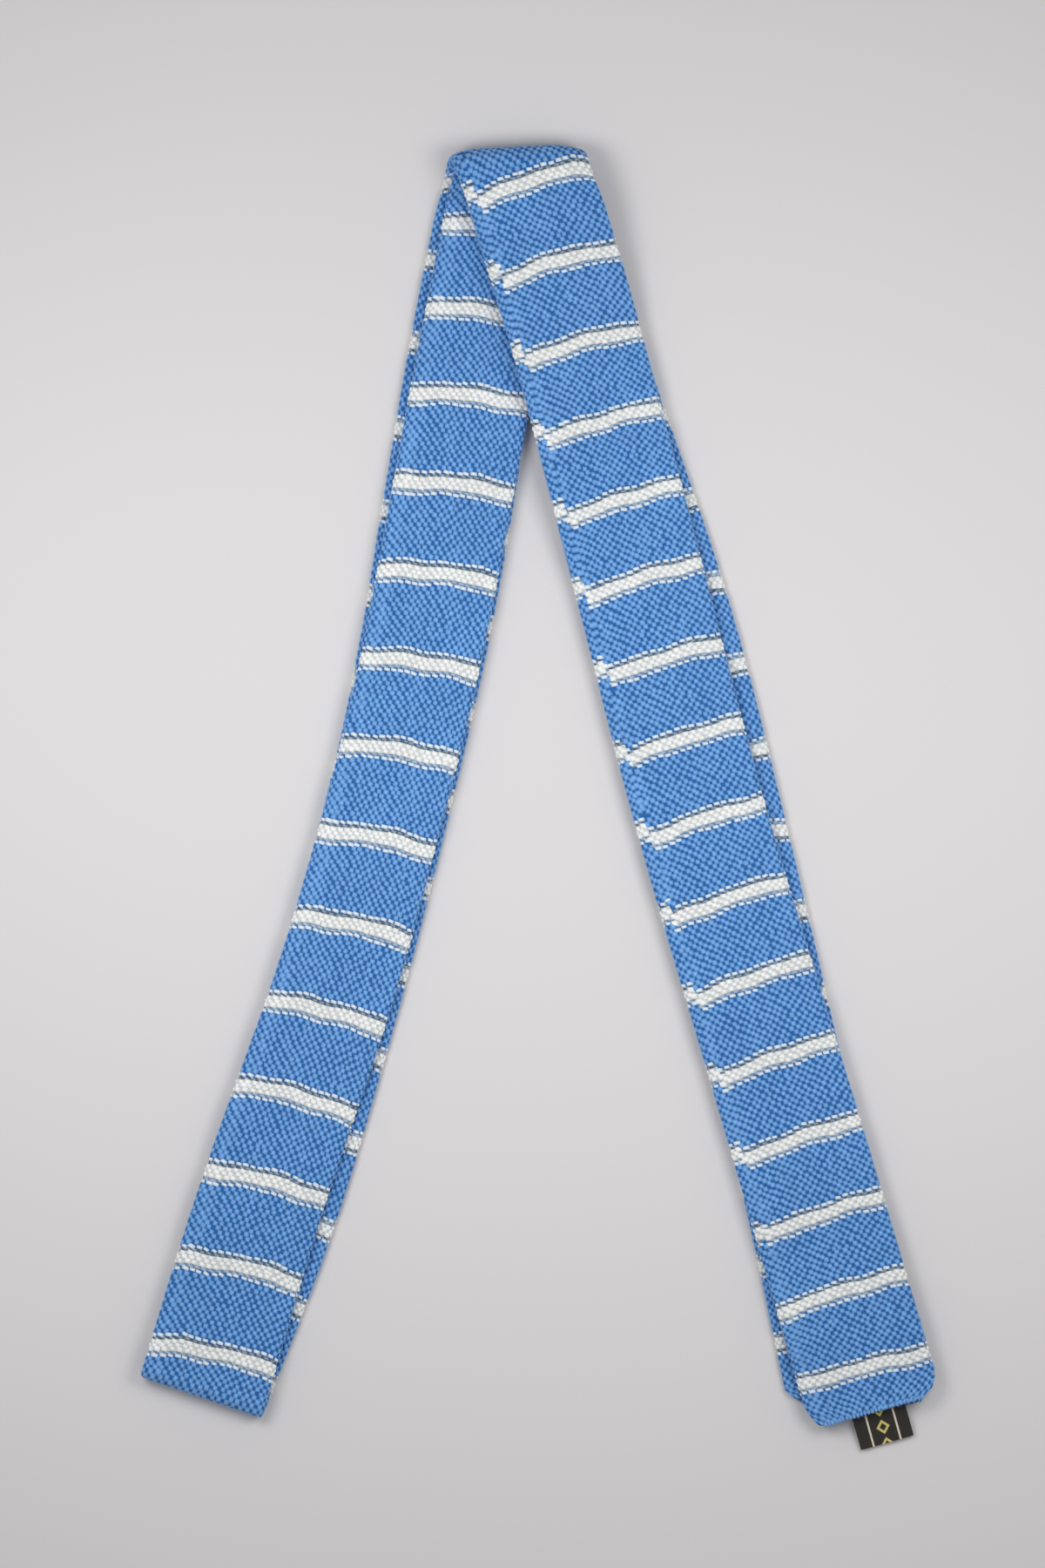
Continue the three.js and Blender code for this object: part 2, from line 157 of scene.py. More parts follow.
@dataclass
class LaidTie:
    """The folded tie as a map from the flat cloth to the table."""

    thickness: float = 2.6
    pitch: float = 3.0
    outer_radius: float = 5.0
    bottom_radius: float = 2.2
    inner_radius: float = 2.0
    top_crease_deg: float = 2.8
    bottom_crease_deg: float = -18.9
    start: tuple[float, float] = (99.6, -176.6)
    start_heading_deg: float = 106.2
    front_share: float = 0.249
    neck_share: float = 0.2425
    bottom_swell_run: float = 24.0
    top_swell_run: float = 26.0
    drape_run: float = 26.0
    drape_margin: float = 2.0
    crotch_share: float = 0.77
    # how the top edge falls away: side, start from the middle, run, depth, in mm, and power
    crown: tuple[tuple[float, float, float, float, float], ...] = (
        (1.0, 5.0, 14.6, 3.3, 2.5),
        (-1.0, 12.0, 8.0, 1.5, 2.0),
    )
    crown_run: float = 19.0
    label_thickness: float = 0.4
    label_gap: float = 0.3
    layer_gap: float = 0.4
    label_covered: float = 32.8
    label_lift_run: float = 20.0
    middle: tuple[float, float] = (4.392, -3.982)  # of the laid tie's box, before it is centred
    slope_step: float = 0.02  # step over which the cloth's directions are measured
    # width of the flat tube: share of the way from the front end, and width in mm
    widths: tuple[tuple[float, float], ...] = (
        (0.0, 38.6),
        (0.1, 37.2),
        (0.25, 36.8),
        (0.5, 36.4),
        (0.53, 36.0),
        (0.62, 33.4),
        (0.72, 34.6),
        (0.8, 36.0),
        (0.97, 35.8),
        (1.0, 36.4),
    )
    # soft corners of an end: length from it, and how far its left and right edges are drawn in
    front_corners: tuple[tuple[float, float, float], ...] = (
        (0.0, 3.0, 6.0),
        (0.8, 2.5, 3.6),
        (2.2, 1.7, 1.9),
        (4.5, 0.6, 0.6),
        (7.5, 0.0, 0.0),
    )
    # where the lower neck leg's left edge is drawn in, so that the upper one hides it
    tuck: tuple[tuple[float, float], ...] = (
        (490.0, 0.0),
        (525.0, 0.9),
        (545.0, 1.5),
        (575.0, 1.6),
        (600.0, 1.0),
        (630.0, 0.0),
    )
    tail_corners: tuple[tuple[float, float, float], ...] = (
        (0.0, 5.0, 3.6),
        (0.8, 4.0, 2.2),
        (2.4, 2.3, 0.9),
        (5.5, 0.0, 0.0),
    )
    front_turns: tuple[Turn, ...] = (
        Turn(0.1, 0.35, 0.7),
        Turn(0.35, 0.6, -2.6),
        Turn(0.6, 0.8, 0.4),
        Turn(0.8, 0.96, 2.6),
    )
    neck_down_turns: tuple[Turn, ...] = (
        Turn(0.04, 0.25, 2.4),
        Turn(0.25, 0.5, -4.4),
        Turn(0.5, 0.75, -2.3),
        Turn(0.75, 0.94, -5.3),
    )
    neck_up_turns: tuple[Turn, ...] = (
        Turn(0.05, 0.25, -3.1),
        Turn(0.25, 0.45, 4.6),
        Turn(0.45, 0.7, 4.6),
        Turn(0.7, 0.94, -1.1),
    )
    tail_turns: tuple[Turn, ...] = (
        Turn(0.05, 0.25, 2.2),
        Turn(0.25, 0.5, -5.6),
        Turn(0.5, 0.75, -0.8),
        Turn(0.75, 0.95, -0.6),
    )

    def __post_init__(self) -> None:
        """Lays the four legs and the three folds."""
        heading = math.radians(self.start_heading_deg)
        front = Leg(self.start, heading, self.front_turns, self.front_share * TIE_LENGTH, 0.0, 1)
        outer = Fold(front, self.top_crease_deg, self.outer_radius)
        neck_down = Leg(
            outer.next_start,
            outer.next_heading,
            self.neck_down_turns,
            self.neck_share * TIE_LENGTH,
            outer.first + outer.length,
            -1,
        )
        bottom = Fold(neck_down, self.bottom_crease_deg, self.bottom_radius)
        unit = Leg((0.0, 0.0), bottom.next_heading, self.neck_up_turns, 1.0, 0.0, 1)
        way = float((outer.place - np.array(bottom.next_start)) @ outer.out)
        gain = float(np.array([unit.xs[-1], unit.ys[-1]]) @ outer.out)
        neck_up = Leg(
            bottom.next_start,
            bottom.next_heading,
            self.neck_up_turns,
            way / gain,
            bottom.first + bottom.length,
            1,
        )
        inner = Fold(neck_up, self.top_crease_deg, self.inner_radius)
        tail_first = inner.first + inner.length
        tail = Leg(
            inner.next_start,
            inner.next_heading,
            self.tail_turns,
            TIE_LENGTH - tail_first,
            tail_first,
            -1,
        )
        self.legs = (front, neck_down, neck_up, tail)
        self.folds = (outer, bottom, inner)
        self._lay_drape()

    def _lay_drape(self) -> None:
        """Finds the line from which the right leg sinks from the left leg to the table."""
        front, _, neck_up, _ = self.legs
        outer = self.folds[0]
        reach = self.half_width(np.array(front.length), -1) / outer.step_out + self.drape_margin
        self.drape_top = outer.place + outer.along * float(reach)
        s = np.array(neck_up.first + self.crotch_share * neck_up.length)
        crotch = np.array(neck_up.point(s, -(self.half_width(s, -1) + self.drape_margin)))
        way = crotch - self.drape_top
        self.drape_right = np.array([-way[1], way[0]]) / np.hypot(*way)

    def half_width(self, s: np.ndarray, side: int) -> np.ndarray:
        """Half the tube's width.

        Args:
            s: lengths from the front end.
            side: 1 for the left edge of the right side, -1 for its right edge.

        Returns:
            The distance from the middle line to that edge.
        """
        column = 1 if side > 0 else 2
        widths, front, tail, tuck = (
            np.array(t) for t in (self.widths, self.front_corners, self.tail_corners, self.tuck)
        )
        inset = np.interp(s, front[:, 0], front[:, column])
        inset = inset + np.interp(TIE_LENGTH - s, tail[:, 0], tail[:, column])
        if side > 0:
            inset = inset + np.interp(s, tuck[:, 0], tuck[:, 1])
        return np.interp(s / TIE_LENGTH, widths[:, 0], widths[:, 1]) / 2.0 - inset

    def _from_fold(self, fold: Fold, x: np.ndarray, y: np.ndarray) -> np.ndarray:
        """Distance on the leg's side of a fold line."""
        return -((x - fold.place[0]) * fold.out[0] + (y - fold.place[1]) * fold.out[1])

    def height(self, leg: int, x: np.ndarray, y: np.ndarray, s: np.ndarray) -> np.ndarray:
        """Height of the middle of the tube on a leg.

        Args:
            leg: number of the leg, from the front end.
            x: places on the table.
            y: places on the table.
            s: lengths from the front end.

        Returns:
            Heights above the table.
        """
        floor = self.thickness / 2.0
        outer, bottom, _ = self.folds
        if leg == 1:
            return np.full(np.shape(x), floor)
        if leg == 2:
            swell = 2.0 * self.bottom_radius - self.pitch
            sunk = ease(self._from_fold(bottom, x, y) / self.bottom_swell_run)
            return floor + self.pitch + swell * (1.0 - sunk)
        right = (x - self.drape_top[0]) * self.drape_right[0]
        right = right + (y - self.drape_top[1]) * self.drape_right[1]
        raised = 2.0 * self.pitch * (1.0 - ease(right / self.drape_run))
        swell = 2.0 * self.inner_radius - self.pitch
        swollen = swell * (1.0 - ease(self._from_fold(outer, x, y) / self.top_swell_run))
        if leg == 3:
            return floor + raised + swollen
        lift = self.label_thickness + 2.0 * self.label_gap - self.layer_gap
        lifted = lift * (1.0 - ease((s - self.label_covered) / self.label_lift_run))
        return floor + self.pitch + raised + swollen + lifted

    def _on_leg(self, leg: int, s: np.ndarray, v: np.ndarray) -> np.ndarray:
        """Points on a leg, as rows of x, y and z."""
        x, y = self.legs[leg].point(s, v)
        return np.stack([x, y, self.height(leg, x, y, s)], axis=-1)

    def _on_fold(self, number: int, s: np.ndarray, v: np.ndarray) -> np.ndarray:
        """Points on a fold.

        Args:
            number: the fold's number, from the front end.
            s: lengths from the front end.
            v: distances from the middle line.

        Returns:
            Rows of x, y and z.
        """
        fold = self.folds[number]
        out = (s - fold.first) * fold.step_out + v * fold.side_out
        along = (s - fold.first) * fold.step_along + v * fold.side_along
        x = fold.place[0] + fold.along[0] * along
        y = fold.place[1] + fold.along[1] * along
        low = self.height(number, x, y, s)
        high = self.height(number + 1, x, y, s)
        angle = out / fold.radius
        reach = fold.radius * np.sin(angle)
        z = low + (high - low) * (1.0 - np.cos(angle)) / 2.0
        return np.stack([x + fold.out[0] * reach, y + fold.out[1] * reach, z], axis=-1)

    def _round_crown(self, points: np.ndarray) -> None:
        """Lets the two corners of the folded top fall away from its middle.

        Args:
            points: rows of x, y and z, which are moved in place.
        """
        outer = self.folds[0]
        x, y = points[:, 0], points[:, 1]
        below = self._from_fold(outer, x, y) + outer.radius + self.thickness / 2.0
        weight = 1.0 - ease(below / self.crown_run)
        along = (x - outer.place[0]) * outer.along[0] + (y - outer.place[1]) * outer.along[1]
        drop = np.zeros(len(points))
        for side, start, run, depth, power in self.crown:
            drop += depth * np.maximum((side * along - start) / run, 0.0) ** power
        points[:, 0] -= outer.out[0] * drop * weight
        points[:, 1] -= outer.out[1] * drop * weight

    def point(self, s: np.ndarray, v: np.ndarray) -> np.ndarray:
        """Middle of the tube.

        Args:
            s: lengths from the front end.
            v: distances from the middle line, one for each length.

        Returns:
            Rows of x, y and z, with the laid tie's middle at the origin.
        """
        points = np.empty((len(s), 3))
        left = np.ones(len(s), bool)
        for number, fold in enumerate(self.folds):
            out = (s - fold.first) * fold.step_out + v * fold.side_out
            leg = left & (out < 0.0)
            bend = left & (out >= 0.0) & (out <= math.pi * fold.radius)
            points[leg] = self._on_leg(number, s[leg], v[leg])
            points[bend] = self._on_fold(number, s[bend], v[bend])
            left &= ~(leg | bend)
        points[left] = self._on_leg(3, s[left], v[left])
        self._round_crown(points)
        points[:, 0] -= self.middle[0]
        points[:, 1] -= self.middle[1]
        return points

    def axes(self, s: np.ndarray, v: np.ndarray) -> tuple[np.ndarray, np.ndarray, np.ndarray]:
        """Directions of the cloth.

        Args:
            s: lengths from the front end.
            v: distances from the middle line.

        Returns:
            The way along the cloth, the way to its left edge, and the way out of its right side.
        """
        step = self.slope_step
        along = self.point(s + step, v) - self.point(s - step, v)
        across = self.point(s, v + step) - self.point(s, v - step)
        normal = np.cross(along, across)
        return unit_rows(along), unit_rows(across), unit_rows(normal)

    def surface(self, s: np.ndarray, v: np.ndarray, n: np.ndarray) -> np.ndarray:
        """Points of the cloth at a height n over the middle of the tube."""
        return self.point(s, v) + self.axes(s, v)[2] * n[:, None]

    def skew_at(self, s: np.ndarray) -> np.ndarray:
        """Slant that turns a cross section parallel to the nearest folds.

        Args:
            s: lengths from the front end.

        Returns:
            Millimetres along the cloth for each millimetre across it.
        """
        marks, skews = [0.0], [0.0]
        for fold in self.folds:
            marks += [fold.first, fold.first + fold.length]
            skews += [fold.skew, fold.skew]
        marks.append(TIE_LENGTH)
        skews.append(0.0)
        number = np.clip(np.searchsorted(marks, s, side="right") - 1, 0, len(marks) - 2)
        low, high = np.array(marks)[number], np.array(marks)[number + 1]
        share = ease((s - low) / (high - low))
        first, last = np.array(skews)[number], np.array(skews)[number + 1]
        return first + (last - first) * share


def unit_rows(rows: np.ndarray) -> np.ndarray:
    """Rows scaled to length 1."""
    return rows / np.linalg.norm(rows, axis=-1, keepdims=True)


# ---------------------------------------------------------------------------------------------
# Knitting
# ---------------------------------------------------------------------------------------------


class Yarn(Enum):
    """The yarn of a row of stitches."""

    BLUE = "blue"
    CREAM = "cream"
    DOTTED = "dotted"
    SHADED = "shaded"
    PALE = "pale"


@dataclass
class Knitting:
    """The rows of stitches: where each lies on the cloth, and which yarn it is."""

    around: int = 36  # stitches in a row, all round the tube
    rows_to_repeat: int = 21
    first_stripe_row: int = 11
    last_rows: int = 14
    # places of the rows at a stripe, from its middle, as shares of the way to the next stripe
    near_rows: tuple[float, ...] = (0.0, 0.044, 0.088, 0.1255)
    first_pitch: float = 22.3  # from a stripe to the next at the front end
    last_pitch: float = 22.6
    # middle of a stripe: number of the stripe, and length from the front end
    stripes: tuple[tuple[float, float], ...] = (
        (0, 12.8),
        (3, 79.8),
        (8, 197.0),
        (10, 243.8),
        (13, 312.0),
        (15, 359.3),
        (16, 384.8),
        (17, 410.3),
        (21, 507.0),
        (24, 582.2),
        (28, 681.3),
        (30, 727.4),
        (31, 750.6),
        (35, 852.0),
        (42, 1030.3),
        (44, 1078.6),
        (49, 1205.2),
        (55, 1347.7),
        (57, 1398.5),
        (59, 1443.6),
    )
    # how the rows lie: length from the front end, lean per mm of width, and bow in mm
    lie: tuple[tuple[float, float, float], ...] = (
        (0, -0.035, 0.6),
        (13, -0.03, 0.6),
        (50, 0.055, 1.0),
        (270, 0.057, 1.1),
        (289, 0.045, 1.3),
        (312, 0.032, 1.6),
        (336, 0.002, 2.15),
        (352, 0.035, 1.6),
        (362, 0.045, 1.35),
        (380, 0.06, 1.1),
        (740, 0.075, 1.4),
        (1100, 0.075, 1.4),
        (1460, 0.06, 1.1),
    )
    # step of the rows over the seam: length from the front end, and step in mm
    seam_step: tuple[tuple[float, float], ...] = (
        (46, 0.0),
        (62, 2.3),
        (200, 3.2),
        (330, 3.9),
        (372, 3.9),
        (420, 0.0),
    )
    seam_inset: float = 3.2
    # how the rows waver: height in mm, and turn in radians per mm across and along the cloth
    waves: tuple[tuple[float, float, float], ...] = ((0.26, 0.31, 0.19), (0.2, 0.52, -0.113))

    def __post_init__(self) -> None:
        """Numbers the rows and finds their places."""
        stripes = np.array(self.stripes, float)
        last = int(stripes[-1, 0])
        self.count = self.first_stripe_row + self.rows_to_repeat * last + self.last_rows + 1
        self.marks = np.concatenate([[-1.0], stripes[:, 0], [last + 1.0]])
        first, end = stripes[0, 1] - self.first_pitch, stripes[-1, 1] + self.last_pitch
        self.places = np.concatenate([[first], stripes[:, 1], [end]])

    def place(self, row: np.ndarray) -> np.ndarray:
        """Length from the front end of a row's middle.

        Args:
            row: numbers of the rows.

        Returns:
            The lengths in millimetres.
        """
        past = row - self.first_stripe_row
        stripe = np.round(past / self.rows_to_repeat)
        beside = past - stripe * self.rows_to_repeat
        marks = [*range(len(self.near_rows)), self.rows_to_repeat / 2.0]
        share = np.interp(np.abs(beside), marks, [*self.near_rows, 0.5])
        return np.interp(stripe + np.sign(beside) * share, self.marks, self.places)

    def stripe_at(self, place: np.ndarray) -> np.ndarray:
        """Stripe number, with its fraction, at a length from the front end."""
        return np.interp(place, self.places, self.marks)

    def shift(
        self, place: np.ndarray, v: np.ndarray, half: np.ndarray, face: np.ndarray
    ) -> np.ndarray:
        """How far a row is moved along the cloth, away from its middle's place.

        Args:
            place: the row's length from the front end.
            v: distance from the middle line.
            half: half the tube's width.
            face: 1 on the right side, -1 on the other.

        Returns:
            The move in mm, towards the tail end.
        """
        lie = np.array(self.lie)
        lean = np.interp(place, lie[:, 0], lie[:, 1])
        bow = np.interp(place, lie[:, 0], lie[:, 2])
        rounded = np.where(face > 0, (v / half) ** 2, 1.0)
        seam = np.array(self.seam_step)
        step = np.interp(place, seam[:, 0], seam[:, 1])
        beside = np.where(v > half - self.seam_inset, 1.0, 0.0)
        faded = np.clip(0.5 + v / half / 2.0, 0.0, 1.0)
        wave = sum(
            height * np.sin(across * v * face + along * place)
            for height, across, along in self.waves
        )
        return -lean * v - bow * rounded + step * np.where(face > 0, beside, faded) + wave

    def yarn(self, row: int) -> Yarn:
        """Yarn of a row.

        Args:
            row: the row's number, from the front end.

        Returns:
            The yarn that it is knitted in.
        """
        place = (row - self.first_stripe_row + self.rows_to_repeat // 2) % self.rows_to_repeat
        place -= self.rows_to_repeat // 2
        near = {-3: Yarn.DOTTED, -2: Yarn.PALE, 2: Yarn.SHADED, 3: Yarn.DOTTED}
        if abs(place) <= 1:
            return Yarn.CREAM
        return near.get(place, Yarn.BLUE)


@dataclass
class TubeProfile:
    """The flat tube's cross section: two straight faces joined by round edges."""

    laid: LaidTie
    rounding: float = 1.3  # of the solid's outline

    def ring(self, s: np.ndarray, turn: np.ndarray, radius: np.ndarray) -> tuple[np.ndarray, ...]:
        """Places on the outline.

        Args:
            s: lengths from the front end.
            turn: share of the way round, from the left end of the right side's flat.
            radius: distance from the inner line that the round edges turn about.

        Returns:
            v, n, and the face, 1 on the right side and -1 on the other.
        """
        left = self.laid.half_width(s, 1) - self.rounding
        right = self.laid.half_width(s, -1) - self.rounding
        flat = left + right
        arc = math.pi * self.rounding
        way = (turn % 1.0) * (2.0 * flat + 2.0 * arc)
        parts = [way < flat, way < flat + arc, way < 2.0 * flat + arc]
        v = np.select(parts, [left - way, -right, -right + (way - flat - arc)], left)
        angle = np.select(
            parts,
            [
                np.full(way.shape, 0.5 * math.pi),
                0.5 * math.pi + (way - flat) / self.rounding,
                np.full(way.shape, 1.5 * math.pi),
            ],
            1.5 * math.pi + (way - 2.0 * flat - arc) / self.rounding,
        )
        out_v, out_n = np.cos(angle), np.sin(angle)
        face = np.where(out_n > 0.0, 1.0, -1.0)
        return v + radius * out_v, radius * out_n, face


# ---------------------------------------------------------------------------------------------
# Shaders
# ---------------------------------------------------------------------------------------------

Colour = tuple[float, float, float, float]


def srgb(red: int, green: int, blue: int) -> Colour:
    """Linear colour of a screen colour.

    Args:
        red: its red, from 0 to 255.
        green: its green, from 0 to 255.
        blue: its blue, from 0 to 255.

    Returns:
        Red, green, blue and alpha from 0 to 1.
    """
    parts = [part / 255.0 for part in (red, green, blue)]
    linear = [p / 12.92 if p <= 0.04045 else ((p + 0.055) / 1.055) ** 2.4 for p in parts]
    return (linear[0], linear[1], linear[2], 1.0)


class Value:
    """A number in a shader: its operators add Math nodes."""

    def __init__(self, shader: "Shader", socket: bpy.types.NodeSocket) -> None:
        """Wraps an output socket of the shader."""
        self.shader = shader
        self.socket = socket

    def _math(self, operation: str, *terms: "Value | float") -> "Value":
        """Adds a Math node.

        Args:
            operation: what it does.
            terms: its inputs in order.

        Returns:
            Its result.
        """
        node = self.shader.node(
            "ShaderNodeMath", {"operation": operation}, dict(enumerate(terms))
        )
        return Value(self.shader, node.outputs[0])

    def __add__(self, other: "Value | float") -> "Value":
        """Sum."""
        return self._math("ADD", self, other)

    def __radd__(self, other: float) -> "Value":
        """Sum with a plain number first."""
        return self._math("ADD", other, self)

    def __sub__(self, other: "Value | float") -> "Value":
        """Difference."""
        return self._math("SUBTRACT", self, other)

    def __rsub__(self, other: float) -> "Value":
        """Difference from a plain number."""
        return self._math("SUBTRACT", other, self)

    def __mul__(self, other: "Value | float") -> "Value":
        """Product."""
        return self._math("MULTIPLY", self, other)

    def __rmul__(self, other: float) -> "Value":
        """Product with a plain number first."""
        return self._math("MULTIPLY", other, self)

    def __truediv__(self, other: "Value | float") -> "Value":
        """Quotient."""
        return self._math("DIVIDE", self, other)

    def __rtruediv__(self, other: float) -> "Value":
        """Quotient of a plain number."""
        return self._math("DIVIDE", other, self)

    def __mod__(self, other: float) -> "Value":
        """Remainder, never negative."""
        return self._math("FLOORED_MODULO", self, other)

    def __rmod__(self, other: float) -> "Value":
        """Remainder of a plain number, never negative."""
        return self._math("FLOORED_MODULO", other, self)

    def size(self) -> "Value":
        """Number without its sign."""
        return self._math("ABSOLUTE", self)

    def sine(self) -> "Value":
        """Sine of the number as an angle in radians."""
        return self._math("SINE", self)

    def rise(self, low: float, high: float) -> "Value":
        """Smooth step.

        Args:
            low: where it is 0.
            high: where it is 1, above or below low.

        Returns:
            The step, from 0 to 1.
        """
        node = self.shader.node(
            "ShaderNodeMapRange",
            {"interpolation_type": "SMOOTHSTEP"},
            {"Value": self, "From Min": low, "From Max": high, "To Min": 0.0, "To Max": 1.0},
        )
        return Value(self.shader, node.outputs["Result"])


class Shader:
    """A material and the nodes that make it."""

    MIX_A, MIX_B, MIX_RESULT = 6, 7, 2  # sockets of a Mix node that is set to colours

    def __init__(self, name: str) -> None:
        """Makes an empty material.

        Args:
            name: the material's name.
        """
        self.material = bpy.data.materials.new(name)
        self.material.use_nodes = True
        self.tree = self.material.node_tree
        self.tree.nodes.clear()

    def node(
        self,
        kind: str,
        settings: dict[str, object] | None = None,
        sockets: dict[str | int, object] | None = None,
    ) -> bpy.types.Node:
        """Adds a node.

        Args:
            kind: the node's type.
            settings: its properties, set first.
            sockets: values or links of its input sockets, by name or number.

        Returns:
            The node.
        """
        made = self.tree.nodes.new(kind)
        for name, value in (settings or {}).items():
            setattr(made, name, value)
        for name, value in (sockets or {}).items():
            if isinstance(value, Value):
                self.tree.links.new(value.socket, made.inputs[name])
            elif isinstance(value, bpy.types.NodeSocket):
                self.tree.links.new(value, made.inputs[name])
            else:
                made.inputs[name].default_value = value
        return made

    def mix(self, share: Value | float, first: object, second: object) -> bpy.types.NodeSocket:
        """Colour between two colours.

        Args:
            share: 0 for the first colour, 1 for the second.
            first: a colour or a socket that gives one.
            second: the same.

        Returns:
            The socket of the new colour.
        """
        node = self.node(
            "ShaderNodeMix",
            {"data_type": "RGBA"},
            {0: share, self.MIX_A: first, self.MIX_B: second},
        )
        return node.outputs[self.MIX_RESULT]

    def tinted(self, colour: object, strength: Value) -> bpy.types.NodeSocket:
        """Colour made lighter or darker.

        Args:
            colour: a colour or a socket that gives one.
            strength: a number around 1.

        Returns:
            The socket of the new colour.
        """
        node = self.node("ShaderNodeCombineXYZ", None, {0: strength, 1: strength, 2: strength})
        made = self.node(
            "ShaderNodeMix",
            {"data_type": "RGBA", "blend_type": "MULTIPLY"},
            {0: 1.0, self.MIX_A: colour, self.MIX_B: node.outputs[0]},
        )
        return made.outputs[self.MIX_RESULT]

    def noise(self, scale: float, detail: float = 2.0) -> Value:
        """Soft random numbers over the object.

        Args:
            scale: cells to the metre.
            detail: how many finer layers are added.

        Returns:
            Numbers about 0.5.
        """
        place = self.node("ShaderNodeTexCoord").outputs["Object"]
        node = self.node(
            "ShaderNodeTexNoise", None, {"Vector": place, "Scale": scale, "Detail": detail}
        )
        return Value(self, node.outputs[0])

    def uv(self) -> tuple[Value, Value]:
        """The mesh's UV map.

        Returns:
            Its two numbers.
        """
        split = self.node(
            "ShaderNodeSeparateXYZ", None, {0: self.node("ShaderNodeUVMap").outputs[0]}
        )
        return Value(self, split.outputs[0]), Value(self, split.outputs[1])

    def finish(
        self,
        colour: object,
        roughness: Value | float,
        relief: Value | None = None,
        relief_depth: float = 0.0,
        constants: dict[str, object] | None = None,
    ) -> bpy.types.Material:
        """Adds the surface.

        Args:
            colour: base colour.
            roughness: its roughness.
            relief: height of the fine relief, from 0 to 1.
            relief_depth: depth of that relief in metres.
            constants: plain values of other sockets.

        Returns:
            The material.
        """
        surface = self.node(
            "ShaderNodeBsdfPrincipled",
            None,
            {"Base Color": colour, "Roughness": roughness, **(constants or {})},
        )
        if relief is not None:
            bump = self.node(
                "ShaderNodeBump",
                None,
                {"Height": relief, "Distance": relief_depth, "Strength": 1.0},
            )
            self.tree.links.new(bump.outputs[0], surface.inputs["Normal"])
        self.node("ShaderNodeOutputMaterial", None, {"Surface": surface.outputs[0]})
        return self.material


@dataclass(frozen=True)
class YarnFinish:
    """Look of the stitches of one yarn."""

    name: str
    # top is the colour painted on a stitch's top as its lit side; the colour after it is painted
    # shade at the stitch's foot, low down between the stitches. The two are blended by height in
    # the stitch, from the height set below.
    top: Colour
    painted_shade_foot: Colour
    mottle: float = 0.25  # how much lighter and darker single stitches are
    roughness: float = 0.85
    sheen: float = 0.25
    painted_light_from: float = 0.42  # height in a stitch, of 1, at which it starts to lighten
    stitch_cells: float = 750.0  # cells of the mottle to the metre
    cloth_cells: float = 60.0
    cloth_mottle: float = 0.14
    ply_turn: float = 18.0  # radians to the millimetre along the twist
    ply_slant: float = 2.5  # radians from the foot of a stitch to its top
    fibre_cells: float = 9000.0
    relief_depth: float = 0.00008  # metres
    ply_relief: float = 0.6
    fibre_relief: float = 0.5
    ply_shade: float = 0.1
    sheen_roughness: float = 0.4
    specular: float = 0.25

    def material(self) -> bpy.types.Material:
        """Soft spun yarn with painted shade low down between the stitches and painted light on
        their tops, with its plies twisted.

        Returns:
            The material.
        """
        shader = Shader(self.name)
        twist, rise = shader.uv()
        # painted light and shade: the shaded foot colour low in a stitch, the lit top colour at
        # its top
        colour = shader.mix(rise.rise(self.painted_light_from, 1.0), self.painted_shade_foot, self.top)
        spots = (shader.noise(self.stitch_cells, detail=3.0) - 0.5) * (2.0 * self.mottle) + 1.0
        broad = (shader.noise(self.cloth_cells) - 0.5) * self.cloth_mottle + 1.0
        plies = (twist * self.ply_turn + rise * self.ply_slant).sine() * 0.5 + 0.5
        fibres = shader.noise(self.fibre_cells, detail=4.0)
        plies_lit = plies * self.ply_shade + (1.0 - self.ply_shade / 2.0)
        return shader.finish(
            shader.tinted(colour, spots * broad * plies_lit),
            self.roughness,
            plies * self.ply_relief + fibres * self.fibre_relief,
            self.relief_depth,
            {
                "Sheen Weight": self.sheen,
                "Sheen Roughness": self.sheen_roughness,
                "Specular IOR Level": self.specular,
            },
        )


@dataclass(frozen=True)
class GroundFinish:
    """Look of the cloth low down between the stitches, its yarn colours darkened as painted shade.
    """

    name: str
    blue: Colour
    pale: Colour
    cream: Colour
    between: Colour
    # start and end of each change of colour, from a stripe's middle, as shares of the way to
    # the next stripe
    changes: tuple[tuple[float, float], ...] = (
        (-0.108, -0.096),
        (-0.074, -0.064),
        (0.064, 0.074),
        (0.1, 0.112),
    )
    spot_cells: float = 1100.0
    spot_share: float = 0.5
    fibre_cells: float = 7000.0
    relief_depth: float = 0.0001  # metres
    roughness: float = 0.95
    sheen: float = 0.15
    specular: float = 0.15

    def material(self) -> bpy.types.Material:
        """Ground darkened with painted shade, whose colour follows the rows of the stripes.

        Returns:
            The material.
        """
        shader = Shader(self.name)
        _, stripes = shader.uv()
        place = (stripes + 0.5) % 1.0 - 0.5
        colour = self.blue
        following = (self.pale, self.cream, self.between, self.blue)
        for (start, end), after in zip(self.changes, following):
            colour = shader.mix(place.rise(start, end), colour, after)
        spots = (shader.noise(self.spot_cells, detail=3.0) - 0.5) * self.spot_share + 1.0
        return shader.finish(
            shader.tinted(colour, spots),
            self.roughness,
            shader.noise(self.fibre_cells, detail=3.0),
            self.relief_depth,
            {"Sheen Weight": self.sheen, "Specular IOR Level": self.specular},
        )


# ---------------------------------------------------------------------------------------------
# Meshes
# ---------------------------------------------------------------------------------------------


